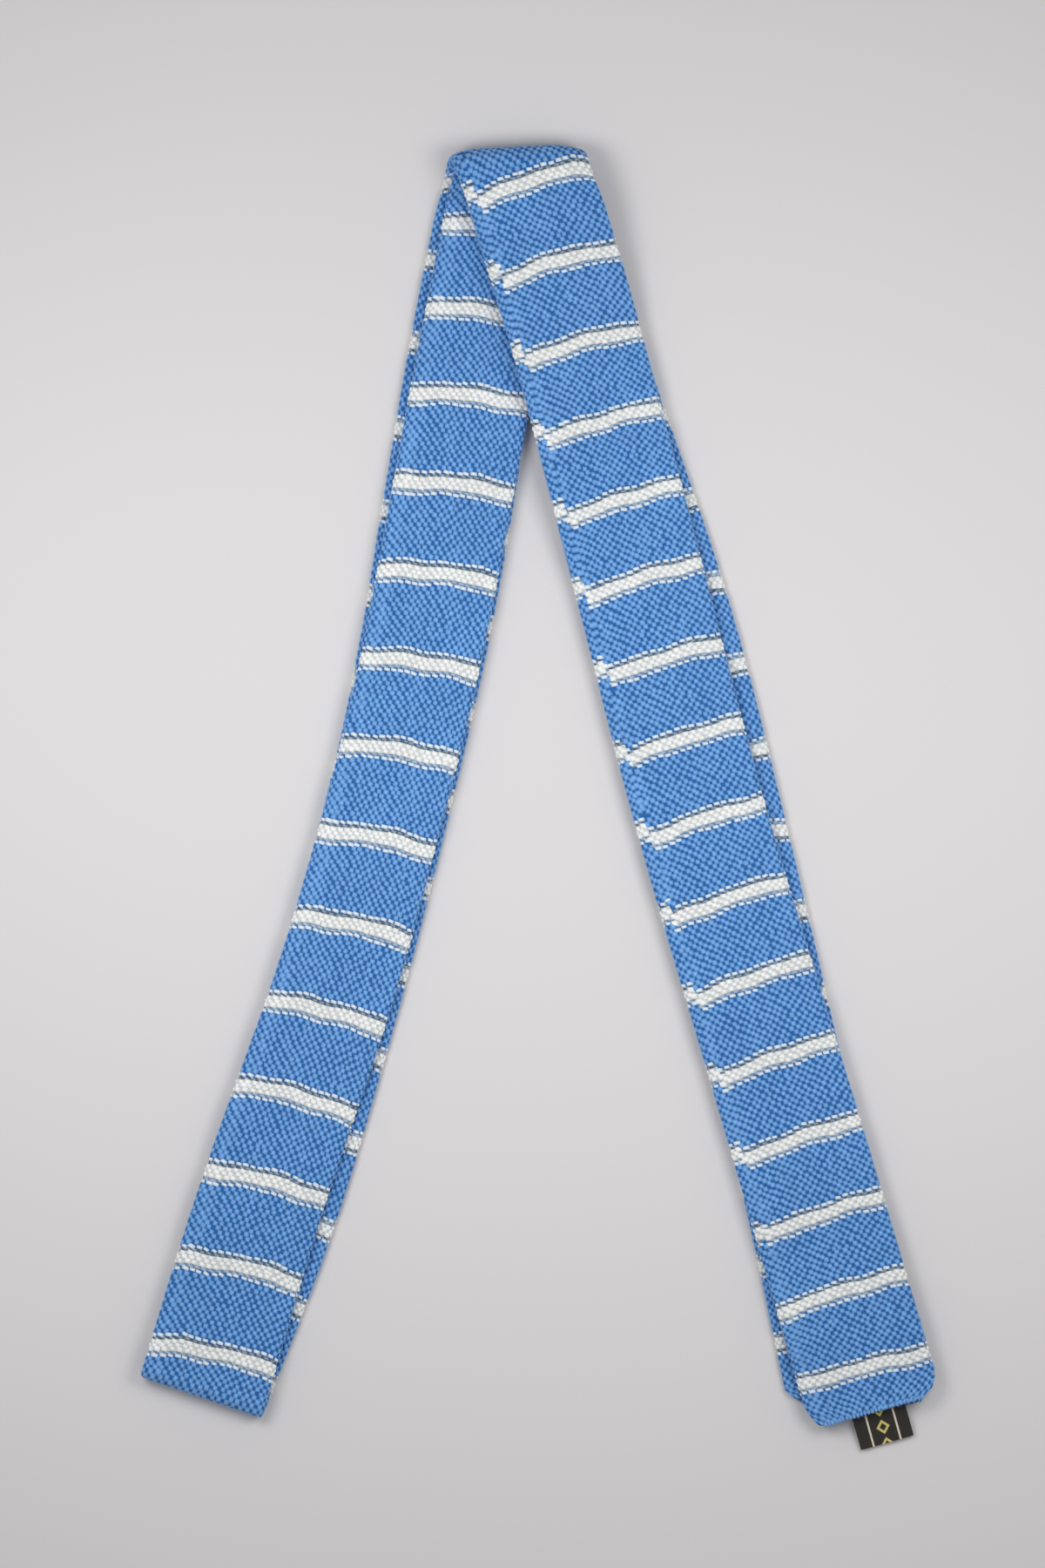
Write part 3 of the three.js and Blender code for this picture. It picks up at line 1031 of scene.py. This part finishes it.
def make_object(
    name: str,
    points: np.ndarray,
    faces: list[np.ndarray],
    material: bpy.types.Material,
    uv: np.ndarray | None = None,
) -> bpy.types.Object:
    """Makes a smooth mesh object.

    Args:
        name: the object's name.
        points: rows of x, y and z in millimetres.
        faces: arrays of vertex numbers, one array for each number of corners.
        material: its finish.
        uv: one pair of numbers for each vertex.

    Returns:
        The object, linked to the scene.
    """
    mesh = bpy.data.meshes.new(name)
    corners = np.concatenate([f.reshape(-1) for f in faces]).astype(np.int32)
    totals = np.concatenate([np.full(len(f), f.shape[1]) for f in faces]).astype(np.int32)
    starts = np.concatenate([[0], np.cumsum(totals)[:-1]]).astype(np.int32)
    mesh.vertices.add(len(points))
    mesh.vertices.foreach_set("co", (points * MM).astype(np.float32).reshape(-1))
    mesh.loops.add(len(corners))
    mesh.loops.foreach_set("vertex_index", corners)
    mesh.polygons.add(len(totals))
    mesh.polygons.foreach_set("loop_start", starts)
    mesh.polygons.foreach_set("loop_total", totals)
    mesh.polygons.foreach_set("use_smooth", np.ones(len(totals), bool))
    if uv is not None:
        layer = mesh.uv_layers.new(name="knit")
        layer.data.foreach_set("uv", uv[corners].astype(np.float32).reshape(-1))
    mesh.update(calc_edges=True)
    mesh.validate()
    mesh.materials.append(material)
    made = bpy.data.objects.new(name, mesh)
    bpy.context.scene.collection.objects.link(made)
    return made


def report(piece: bpy.types.Object) -> None:
    """Logs a piece that has been made."""
    faces = len(piece.data.polygons)
    LOG.info("%s: %d vertices, %d faces", piece.name, len(piece.data.vertices), faces)


def ring_quads(rings: int, around: int, offset: int, ring_size: int, outwards: bool) -> np.ndarray:
    """Quads of a tube made of rings of points.

    Args:
        rings: number of rings.
        around: points of each ring that belong to this tube.
        offset: place of the first of them in its ring.
        ring_size: all points of a ring.
        outwards: whether the points run so that the faces turn out.

    Returns:
        Rows of four vertex numbers.
    """
    ring = np.arange(rings - 1)[:, None] * ring_size + offset
    here = np.arange(around)[None, :]
    after = (here + 1) % around
    quad = [ring + here, ring + after, ring + ring_size + after, ring + ring_size + here]
    quads = np.stack(quad, axis=-1).reshape(-1, 4)
    return quads if outwards else quads[:, ::-1]


@dataclass
class GroundCloth:
    """The tube of cloth under the stitches, with the slit inside it."""

    laid: LaidTie
    knitting: Knitting
    profile: TubeProfile
    radius: float = 0.95
    slit_radius: float = 0.2
    end_inset: float = 0.3
    plain_step: float = 2.8
    fold_step: float = 0.7
    fold_margin: float = 8.0
    end_run: float = 7.5  # length at each end where the rings stand close
    flat_columns: int = 9
    edge_columns: int = 5
    mean_width: float = 36.4
    seam_half: float = 0.1  # half the way between the pair of columns at the seam
    seam_clear: float = 2.0  # way from the seam to the next column
    floor: float = 0.05

    def _lengths(self) -> np.ndarray:
        """Lengths of the cross sections.

        Returns:
            Their places from the front end, closer together at the folds and the ends.
        """
        fine = [(0.0, self.end_run), (TIE_LENGTH - self.end_run, TIE_LENGTH)]
        for fold in self.laid.folds:
            past = fold.first + fold.length + self.fold_margin
            fine.append((fold.first - self.fold_margin, past))
        lengths = [self.end_inset]
        while lengths[-1] < TIE_LENGTH - self.end_inset:
            near = any(low <= lengths[-1] <= high for low, high in fine)
            lengths.append(lengths[-1] + (self.fold_step if near else self.plain_step))
        lengths[-1] = TIE_LENGTH - self.end_inset
        return np.array(lengths)

    def _turns(self) -> np.ndarray:
        """Places of the columns round the tube.

        Returns:
            Shares of the way round, with a narrow pair at the seam.
        """
        arc = math.pi * self.profile.rounding
        whole = 2.0 * (self.mean_width - 2.0 * self.profile.rounding) + 2.0 * arc
        flat = (whole - 2.0 * arc) / 2.0
        seam = self.knitting.seam_inset - self.profile.rounding
        ways = np.concatenate(
            [
                [0.0, seam - self.seam_half, seam + self.seam_half],
                np.linspace(seam + self.seam_clear, flat, self.flat_columns),
                flat + arc * np.arange(1, self.edge_columns) / self.edge_columns,
                np.linspace(flat + arc, 2.0 * flat + arc, self.flat_columns + 1),
                2.0 * flat + arc + arc * np.arange(1, self.edge_columns) / self.edge_columns,
            ]
        )
        return ways / whole

    def build(self, finish: GroundFinish) -> bpy.types.Object:
        """Makes the cloth.

        Args:
            finish: its look.

        Returns:
            The piece.
        """
        lengths, turns = self._lengths(), self._turns()
        rings, around = len(lengths), len(turns)
        middle = np.repeat(lengths, around)
        turn = np.tile(turns, rings)
        rows, skins = [], []
        for radius in (self.radius, self.slit_radius):
            distance = np.full(len(turn), radius)
            v, _, _ = self.profile.ring(middle, turn, distance)
            s = middle + v * self.laid.skew_at(middle)
            v, n, face = self.profile.ring(s, turn, distance)
            half = np.where(v > 0, self.laid.half_width(s, 1), self.laid.half_width(s, -1))
            place = s
            for _ in range(3):  # the place at which a row, once shifted, comes to lie at s
                place = s - self.knitting.shift(place, v, half, face)
            rows.append(self.knitting.stripe_at(place))
            skins.append(self.laid.surface(s, v, n))
        size = 2 * around
        points = np.stack([skin.reshape(rings, around, 3) for skin in skins], axis=1)
        points = points.reshape(-1, 3)
        points[:, 2] = np.maximum(points[:, 2], self.floor)
        uv_rows = np.stack([row.reshape(rings, around) for row in rows], axis=1).reshape(-1)
        uv = np.stack([np.tile(turns, 2 * rings), uv_rows], axis=-1)
        ends = []
        for base, flip in ((0, False), ((rings - 1) * size, True)):
            here = np.arange(around)
            after = (here + 1) % around
            end = np.stack(
                [base + here, base + around + here, base + around + after, base + after], axis=-1
            )
            ends.append(end[:, ::-1] if flip else end)
        quads = np.concatenate(
            [
                ring_quads(rings, around, 0, size, True),
                ring_quads(rings, around, around, size, False),
                *ends,
            ]
        )
        made = make_object("knit_ground", points, [quads], finish.material(), uv)
        report(made)
        return made


@dataclass(frozen=True)
class StitchShape:
    """Size of a stitch of one yarn, in millimetres."""

    across: float
    along: float
    top: float  # height over the middle of the tube
    tilt_deg: float


# how far a stitch reaches from its middle: on average, how much more to its four slanting
# neighbours, and how much more along the backward slant
STITCH_REACH = (0.96, 0.16, 0.08)
# rings of a stitch: share of its reach, and of its height
STITCH_FOOT = (1.0, 0.0)
STITCH_SHOULDER = (0.8, 0.66)


class Detail(Enum):
    """How finely a stitch is made: corners, and whether it has a shoulder."""

    FINE = (8, True)
    COARSE = (6, False)

    def template(self) -> tuple[np.ndarray, dict[int, np.ndarray]]:
        """One closed stitch.

        Returns:
            Rows of x, y and height from 0 to 1, and the faces by their number of corners.
        """
        corners, shoulder = self.value
        angles = np.arange(corners) * 2.0 * math.pi / corners
        mean, slanting, backward = STITCH_REACH
        reach = mean - slanting * np.cos(4.0 * angles) - backward * np.sin(2.0 * angles)
        circle = np.stack([np.cos(angles), np.sin(angles)], axis=-1) * reach[:, None]
        levels = [STITCH_FOOT, STITCH_SHOULDER] if shoulder else [STITCH_FOOT]
        rows = [np.column_stack([circle * k, np.full(corners, h)]) for k, h in levels]
        points = np.concatenate([*rows, [[0.0, 0.0, 1.0]]])
        here = np.arange(corners)
        after = (here + 1) % corners
        faces = {corners: here[::-1].reshape(1, -1)}
        if shoulder:
            faces[4] = np.stack([here, after, corners + after, corners + here], axis=-1)
        low = corners * (len(levels) - 1)
        tip = np.full(corners, corners * len(levels))
        faces[3] = np.stack([low + here, low + after, tip], axis=-1)
        return points, faces


@dataclass
class Stitches:
    """The stitches of the tube, row by row, each a small closed bead of yarn."""

    laid: LaidTie
    knitting: Knitting
    profile: TubeProfile
    base: float = 0.78  # height over the middle of the tube at which a stitch starts
    floor: float = 0.02
    jitter: float = 0.06
    tilt_jitter_deg: float = 6.0
    twist_way: tuple[float, float] = (0.8, 0.6)  # across and along, in which the plies turn
    edge_strip: float = 5.0  # width beside an edge of a lower leg that may show from above
    edge_turn: float = 2.5  # width beside an edge of an upper leg that may show from a side
    fold_reach: float = 12.0  # length beside a fold's middle that may show
    seam_reach: float = 1.5  # stitches this near the seam are made larger, to close over it
    seam_growth: float = 1.16
    shapes: dict[Yarn, StitchShape] = field(
        default_factory=lambda: {
            Yarn.BLUE: StitchShape(1.04, 1.08, 1.42, -2.0),
            Yarn.CREAM: StitchShape(1.1, 0.92, 1.44, -2.0),
            Yarn.DOTTED: StitchShape(1.22, 0.68, 1.42, -4.0),
            Yarn.SHADED: StitchShape(1.1, 0.5, 1.06, 0.0),
            Yarn.PALE: StitchShape(1.15, 0.55, 1.14, -4.0),
        }
    )

    def _lay(self) -> None:
        """Places every stitch on the cloth."""
        rng = np.random.default_rng(RNG_SEED)
        around, count = self.knitting.around, self.knitting.count
        row = np.repeat(np.arange(count), around)
        number = np.tile(np.arange(around), count)
        total = len(row)
        self.turn = (number + 0.5 * (row % 2) + rng.normal(0.0, self.jitter, total)) / around
        place = self.knitting.place(row.astype(float))
        place = place + rng.normal(0.0, self.jitter, total)
        rounding = np.full(total, self.profile.rounding)
        v, _, face = self.profile.ring(place, self.turn, rounding)
        half = np.where(v > 0, self.laid.half_width(place, 1), self.laid.half_width(place, -1))
        self.s = place + self.knitting.shift(place, v, half, face)
        self.row = row
        self.size = 1.0 + rng.normal(0.0, self.jitter, total)
        from_seam = np.abs(v - half + self.knitting.seam_inset)
        self.size[(face > 0) & (from_seam < self.seam_reach)] *= self.seam_growth
        self.tilt = rng.normal(0.0, self.tilt_jitter_deg, total)
        bounds = [fold.first + fold.length / 2.0 for fold in self.laid.folds]
        self.leg = np.searchsorted(bounds, self.s)
        edge = np.abs(v) > half - self.edge_turn
        upper = np.isin(self.leg, (0, 2))
        shown = upper & ((face > 0) | edge)
        shown |= ~upper & (np.abs(v) > half - self.edge_strip)
        for fold in self.laid.folds:
            past = np.abs(self.s - fold.first - fold.length / 2.0)
            shown |= (past < self.fold_reach) & (face > 0)
        details = list(Detail)
        self.detail = np.where(shown, details.index(Detail.FINE), details.index(Detail.COARSE))

    def _beads(
        self, chosen: np.ndarray, shape: StitchShape, detail: Detail
    ) -> tuple[np.ndarray, np.ndarray, dict[int, np.ndarray]]:
        """Meshes of the chosen stitches.

        Args:
            chosen: their numbers.
            shape: their size.
            detail: how finely they are made.

        Returns:
            Points, UV pairs, and faces by their number of corners.
        """
        template, faces = detail.template()
        tilt = np.radians(shape.tilt_deg + self.tilt[chosen])[:, None]
        size = self.size[chosen][:, None]
        x = template[None, :, 0] * shape.across * size
        y = template[None, :, 1] * shape.along * size
        s = self.s[chosen][:, None] + x * np.sin(tilt) + y * np.cos(tilt)
        way = x * np.cos(tilt) - y * np.sin(tilt)
        whole = 4.0 * (self.laid.half_width(s, 1) - self.profile.rounding)
        whole = whole + 2.0 * math.pi * self.profile.rounding
        turn = self.turn[chosen][:, None] + way / whole
        rise = template[None, :, 2] * (shape.top - self.base) * (0.5 + 0.5 * size)
        radius = self.base + rise
        v, n, _ = self.profile.ring(s.reshape(-1), turn.reshape(-1), radius.reshape(-1))
        points = self.laid.surface(s.reshape(-1), v, n)
        points[:, 2] = np.maximum(points[:, 2], self.floor)
        # UV: the way of the plies' twist, and the height in the stitch, which the yarn's finish
        # turns into painted shade low down and painted light at the top
        twist = (x * self.twist_way[0] + y * self.twist_way[1]).reshape(-1)
        uv = np.stack([twist, np.broadcast_to(template[None, :, 2], s.shape).reshape(-1)], axis=-1)
        first = np.arange(len(chosen))[:, None, None] * len(template)
        grown = {k: (f[None] + first).reshape(-1, f.shape[1]) for k, f in faces.items()}
        return points, uv, grown

    def build(self, materials: dict[Yarn, bpy.types.Material]) -> list[bpy.types.Object]:
        """Makes the stitches.

        Args:
            materials: finish of each yarn.

        Returns:
            The pieces, one for each leg and yarn.
        """
        self._lay()
        yarns = np.array([self.knitting.yarn(int(r)).value for r in range(self.knitting.count)])
        yarn_of = yarns[self.row]
        made = []
        for leg, leg_name in enumerate(("front", "neck_down", "neck_up", "tail")):
            for yarn in Yarn:
                points, uvs, faces, offset = [], [], {}, 0
                for level, detail in enumerate(Detail):
                    picked = (self.leg == leg) & (yarn_of == yarn.value) & (self.detail == level)
                    chosen = np.nonzero(picked)[0]
                    if not len(chosen):
                        continue
                    part, uv, grown = self._beads(chosen, self.shapes[yarn], detail)
                    for corners, rows in grown.items():
                        faces.setdefault(corners, []).append(rows + offset)
                    points.append(part)
                    uvs.append(uv)
                    offset += len(part)
                piece = make_object(
                    f"stitches_{yarn.value}_{leg_name}",
                    np.concatenate(points),
                    [np.concatenate(rows) for rows in faces.values()],
                    materials[yarn],
                    np.concatenate(uvs),
                )
                report(piece)
                made.append(piece)
        return made


@dataclass
class EndLoops:
    """The linked loops that bind off both layers of the tube at its two ends."""

    laid: LaidTie
    spacing: float = 1.05
    across: float = 0.56
    along: float = 0.85
    lip: float = 0.76  # height of a lip's middle over the middle of the tube
    thick: float = 0.62
    inset: float = 0.45
    # height from -1 to 1, and width as a share of the widest
    levels: tuple[tuple[float, float], ...] = (
        (-0.85, 0.55),
        (-0.3, 1.0),
        (0.35, 0.95),
        (0.85, 0.5),
    )
    corners: int = 8
    size_jitter: float = 0.08
    place_jitter: float = 0.05
    floor: float = 0.02

    def _loop(self) -> tuple[np.ndarray, list[np.ndarray]]:
        """One loop.

        Returns:
            Rows of x, y and height from -1 to 1, and its quads and its end faces.
        """
        angles = np.arange(self.corners) * 2.0 * math.pi / self.corners
        circle = np.stack([np.cos(angles), np.sin(angles)], axis=-1)
        rows = [np.column_stack([circle * k, np.full(self.corners, h)]) for h, k in self.levels]
        quads = ring_quads(len(rows), self.corners, 0, self.corners, True)
        here = np.arange(self.corners)
        last = self.corners * (len(rows) - 1)
        return np.concatenate(rows), [quads, np.stack([here[::-1], last + here])]

    def build(self, material: bpy.types.Material) -> bpy.types.Object:
        """Makes the loops.

        Args:
            material: finish of the yarn.

        Returns:
            The piece.
        """
        rng = np.random.default_rng(RNG_SEED + 1)
        template, parts = self._loop()
        points, uvs, faces, offset = [], [], [[], []], 0
        for end in (self.inset, TIE_LENGTH - self.inset):
            left = float(self.laid.half_width(np.array(end), 1)) - self.spacing
            right = float(self.laid.half_width(np.array(end), -1)) - self.spacing
            for place in np.arange(-right, left, self.spacing):
                for lip in (-self.lip, self.lip):
                    size = 1.0 + rng.normal(0.0, self.size_jitter)
                    middle = place + rng.normal(0.0, self.place_jitter)
                    v = middle + template[:, 0] * self.across * size
                    s = end + template[:, 1] * self.along * size
                    n = lip + template[:, 2] * self.thick
                    skin = self.laid.surface(s, v, n)
                    skin[:, 2] = np.maximum(skin[:, 2], self.floor)
                    points.append(skin)
                    # height in the loop, which the yarn's finish turns into painted shade low down
                    # and painted light at the top
                    rise = np.abs(n) / (self.lip + self.thick)
                    uvs.append(np.stack([template[:, 0] + template[:, 1], rise], axis=-1))
                    for kept, part in zip(faces, parts):
                        kept.append(part + offset)
                    offset += len(template)
        rows = [np.concatenate(kept) for kept in faces]
        made = make_object(
            "end_loops", np.concatenate(points), rows, material, np.concatenate(uvs)
        )
        report(made)
        return made


@dataclass(frozen=True)
class RibbonFinish:
    """Look of the woven label, with a plain woven pattern in place of any words."""

    name: str
    ribbon: Colour
    line: Colour
    motif: Colour
    line_place: float = 3.95  # from the middle of the ribbon, in mm
    line_edge: tuple[float, float] = (0.33, 0.2)  # where a line has ended and is full, in mm
    motif_pitch: float = 5.2
    motif_across: float = 1.9
    motif_along: float = 2.1
    motif_ring: float = 0.78  # middle of a diamond's outline, as a share of its reach
    motif_edge: tuple[float, float] = (0.26, 0.2)  # where the outline has ended and is full
    warp: float = 26.0  # turn of the threads across, in radians to the millimetre
    weft: float = 22.0
    thread_shade: float = 0.12
    spot_cells: float = 2500.0
    spot_share: float = 0.5
    relief_depth: float = 0.00006  # metres
    roughness: float = 0.72
    sheen: float = 0.2
    specular: float = 0.3

    def material(self) -> bpy.types.Material:
        """Dark ribbon with two light lines and a row of small diamonds between them.

        Returns:
            The material.
        """
        shader = Shader(self.name)
        across, along = shader.uv()
        beside = (across.size() - self.line_place).size()
        colour = shader.mix(beside.rise(*self.line_edge), self.ribbon, self.line)
        step = ((along + self.motif_pitch / 2.0) % self.motif_pitch) - self.motif_pitch / 2.0
        reach = across.size() / self.motif_across + step.size() / self.motif_along
        band = (reach - self.motif_ring).size()
        colour = shader.mix(band.rise(*self.motif_edge), colour, self.motif)
        threads = (along * self.weft).sine() * 0.5 + (across * self.warp).sine() * 0.5
        spots = (shader.noise(self.spot_cells, detail=3.0) - 0.5) * self.spot_share
        return shader.finish(
            shader.tinted(colour, threads * self.thread_shade + spots + 1.0),
            self.roughness,
            threads * 0.5 + 0.5,
            self.relief_depth,
            {"Sheen Weight": self.sheen, "Specular IOR Level": self.specular},
        )


@dataclass
class Label:
    """Ribbon label sewn to the tail end, which comes out under the front end."""

    laid: LaidTie
    width: float = 15.5
    length: float = 40.0
    thickness: float = 0.4
    overhang: float = 15.2
    side_shift: float = 6.1
    turn_deg: float = 3.6
    tip_height: float = 1.2
    fall_power: float = 1.6
    columns: int = 24
    rows: int = 60
    wave: float = 0.12
    wave_turn: float = 0.5  # radians to the millimetre across
    edge_share: float = 0.35  # thickness left at the ribbon's two edges, of the whole
    lying_part: float = 1.0  # length past the tail end that still lies flat
    slope_step: float = 0.01

    def _height(self, mark: np.ndarray) -> np.ndarray:
        """Height of the ribbon's middle.

        Args:
            mark: lengths past the tail end.

        Returns:
            Heights above the table.
        """
        lying = self.laid.thickness + self.laid.label_gap + self.thickness / 2.0
        hanging = (mark - self.lying_part) / (self.overhang - self.lying_part)
        fall = np.maximum(hanging, 0.0) ** self.fall_power
        return lying - (lying - self.tip_height) * fall

    def _skin(self, across: np.ndarray, mark: np.ndarray, up: np.ndarray) -> np.ndarray:
        """Points of the ribbon.

        Args:
            across: distances from its middle line.
            mark: lengths past the tail end.
            up: heights over its middle.

        Returns:
            Rows of x, y and z.
        """
        tail = self.laid.legs[3]
        end = np.array(TIE_LENGTH)
        x, y = (float(value) for value in tail.point(end, np.array(-self.side_shift)))
        heading = float(tail.at(end)[2]) + math.radians(self.turn_deg)
        step = np.array([math.cos(heading), math.sin(heading)])
        side = np.array([-step[1], step[0]])
        small = self.slope_step
        drop = self._height(mark + small) - self._height(mark - small)
        slope = np.arctan2(drop, 2.0 * small)
        past = mark - np.sin(slope) * up
        lift = self.wave * np.sin(across * self.wave_turn) * ease(mark / self.overhang)
        return np.stack(
            [
                x + step[0] * past + side[0] * across - self.laid.middle[0],
                y + step[1] * past + side[1] * across - self.laid.middle[1],
                self._height(mark) + np.cos(slope) * up + lift,
            ],
            axis=-1,
        )

    def build(self, finish: RibbonFinish) -> bpy.types.Object:
        """Makes the label.

        Args:
            finish: its look.

        Returns:
            The piece.
        """
        half, thick = self.width / 2.0, self.thickness / 2.0
        row = np.linspace(half, -half, self.columns)
        rounding = np.minimum((half - np.abs(row)) / thick, 1.0)
        arch = np.sqrt(1.0 - (1.0 - rounding) ** 2)
        up = thick * (self.edge_share + (1.0 - self.edge_share) * arch)
        across = np.concatenate([row, row[::-1]])
        ups = np.concatenate([up, -up[::-1]])
        marks = np.linspace(self.overhang - self.length, self.overhang, self.rows)
        around = len(across)
        mark = np.repeat(marks, around)
        wide, high = np.tile(across, self.rows), np.tile(ups, self.rows)
        points = self._skin(wide, mark, high)
        here = np.arange(self.columns - 1)
        ends = []
        for base, flip in ((0, True), ((self.rows - 1) * around, False)):
            under = base + around - 1 - here
            face = np.stack([base + here, base + here + 1, under - 1, under], axis=-1)
            ends.append(face[:, ::-1] if flip else face)
        quads = np.concatenate([ring_quads(self.rows, around, 0, around, False), *ends])
        made = make_object(
            "label_ribbon", points, [quads], finish.material(), np.stack([wide, mark], axis=-1)
        )
        report(made)
        return made


# ---------------------------------------------------------------------------------------------
# Studio
# ---------------------------------------------------------------------------------------------


@dataclass
class Studio:
    """Pale floor, soft light, and the camera straight above the tie."""

    camera_height: float = 1.5
    camera_place: tuple[float, float] = (-0.004392, 0.003982)
    picture_height: float = 0.4423  # of the table, in metres, over the picture's height
    picture_level: float = 0.003
    sensor: float = 36.0
    floor_half: float = 3000.0  # in mm, as the pieces are
    floor_colour: Colour = srgb(222, 219, 219)
    floor_cells: float = 3.0  # cells of its mottle to the metre
    floor_mottle: float = 0.03
    floor_roughness: float = 0.9
    floor_specular: float = 0.1
    world_colour: Colour = (0.97, 0.98, 1.0, 1.0)
    world_strength: float = 0.42
    # name, place and size in metres, and power in watts
    lamps: tuple[tuple[str, tuple[float, float, float], float, float], ...] = (
        ("key_light", (-0.19, 0.05, 0.35), 0.18, 0.64),
        ("fill_light", (0.2, 0.035, 0.35), 0.2, 0.56),
    )

    def camera(self) -> bpy.types.Object:
        """Camera that looks straight down.

        Returns:
            The camera.
        """
        data = bpy.data.cameras.new("camera")
        data.sensor_width = self.sensor
        way = self.camera_height - self.picture_level
        data.lens = self.sensor * way / self.picture_height
        made = bpy.data.objects.new("camera", data)
        made.location = (*self.camera_place, self.camera_height)
        bpy.context.scene.collection.objects.link(made)
        bpy.context.scene.camera = made
        return made

    def light(
        self, name: str, place: tuple[float, float, float], size: float, power: float
    ) -> bpy.types.Object:
        """Soft square light aimed at the middle of the tie.

        Args:
            name: the light's name.
            place: where it hangs.
            size: length of its side.
            power: its power.

        Returns:
            The light.
        """
        data = bpy.data.lights.new(name, "AREA")
        data.size = size
        data.energy = power
        made = bpy.data.objects.new(name, data)
        made.location = place
        made.rotation_euler = (-Vector(place)).to_track_quat("-Z", "Y").to_euler()
        bpy.context.scene.collection.objects.link(made)
        return made

    def floor(self) -> bpy.types.Object:
        """Plain pale sheet on which the tie lies.

        Returns:
            The sheet.
        """
        shader = Shader("pale_floor")
        clouds = (shader.noise(self.floor_cells) - 0.5) * self.floor_mottle + 1.0
        material = shader.finish(
            shader.tinted(self.floor_colour, clouds),
            self.floor_roughness,
            constants={"Specular IOR Level": self.floor_specular},
        )
        half = self.floor_half
        points = np.array([[-half, -half, 0], [half, -half, 0], [half, half, 0], [-half, half, 0]])
        made = make_object("floor", points, [np.array([[0, 1, 2, 3]])], material)
        return made

    def world(self) -> None:
        """Even pale surroundings."""
        world = bpy.data.worlds.new("studio")
        world.use_nodes = True
        back = world.node_tree.nodes["Background"]
        back.inputs["Color"].default_value = self.world_colour
        back.inputs["Strength"].default_value = self.world_strength
        bpy.context.scene.world = world

    def build(self) -> None:
        """Makes the whole studio."""
        self.floor()
        self.world()
        for name, place, size, power in self.lamps:
            self.light(name, place, size, power)
        self.camera()
        bpy.context.scene.view_settings.view_transform = "Standard"


def main() -> None:
    """Builds every piece in order."""
    logging.basicConfig(level=logging.INFO, format="%(name)s: %(message)s")
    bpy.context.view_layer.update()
    laid = LaidTie()
    knitting = Knitting()
    profile = TubeProfile(laid)
    # each yarn: its name, the colour of a stitch's lit top, the painted shade at its foot, and its
    # mottle
    finishes = {
        Yarn.BLUE: YarnFinish("blue_yarn", srgb(127, 182, 240), srgb(52, 113, 184), 0.28),
        Yarn.CREAM: YarnFinish("cream_yarn", srgb(253, 254, 252), srgb(226, 229, 229), 0.18),
        Yarn.DOTTED: YarnFinish("cream_dots", srgb(240, 247, 253), srgb(170, 196, 222), 0.1),
        Yarn.SHADED: YarnFinish("shaded_rows", srgb(150, 168, 184), srgb(92, 112, 130), 0.3),
        Yarn.PALE: YarnFinish("pale_rows", srgb(176, 194, 210), srgb(126, 150, 176), 0.2),
    }
    # the ground's colours are the yarns' colours darkened: painted shade for the holes between the
    # stitches
    ground = GroundCloth(laid, knitting, profile).build(
        GroundFinish(
            "painted_shade_ground",
            srgb(45, 106, 172),
            srgb(116, 140, 168),
            srgb(210, 213, 212),
            srgb(78, 96, 116),
        )
    )
    materials = {yarn: finish.material() for yarn, finish in finishes.items()}
    stitches = Stitches(laid, knitting, profile).build(materials)
    loops = EndLoops(laid).build(materials[Yarn.BLUE])
    label = Label(laid).build(
        RibbonFinish("label_ribbon", srgb(46, 41, 36), srgb(226, 218, 196), srgb(216, 201, 118))
    )
    stitches.append(loops)
    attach(ground, "root")
    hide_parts("knit_tube")
    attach(label, "root")
    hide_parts("woven_label")
    for piece in stitches:
        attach(piece, "root")
    Studio().build()


if __name__ == "__main__":
    main()
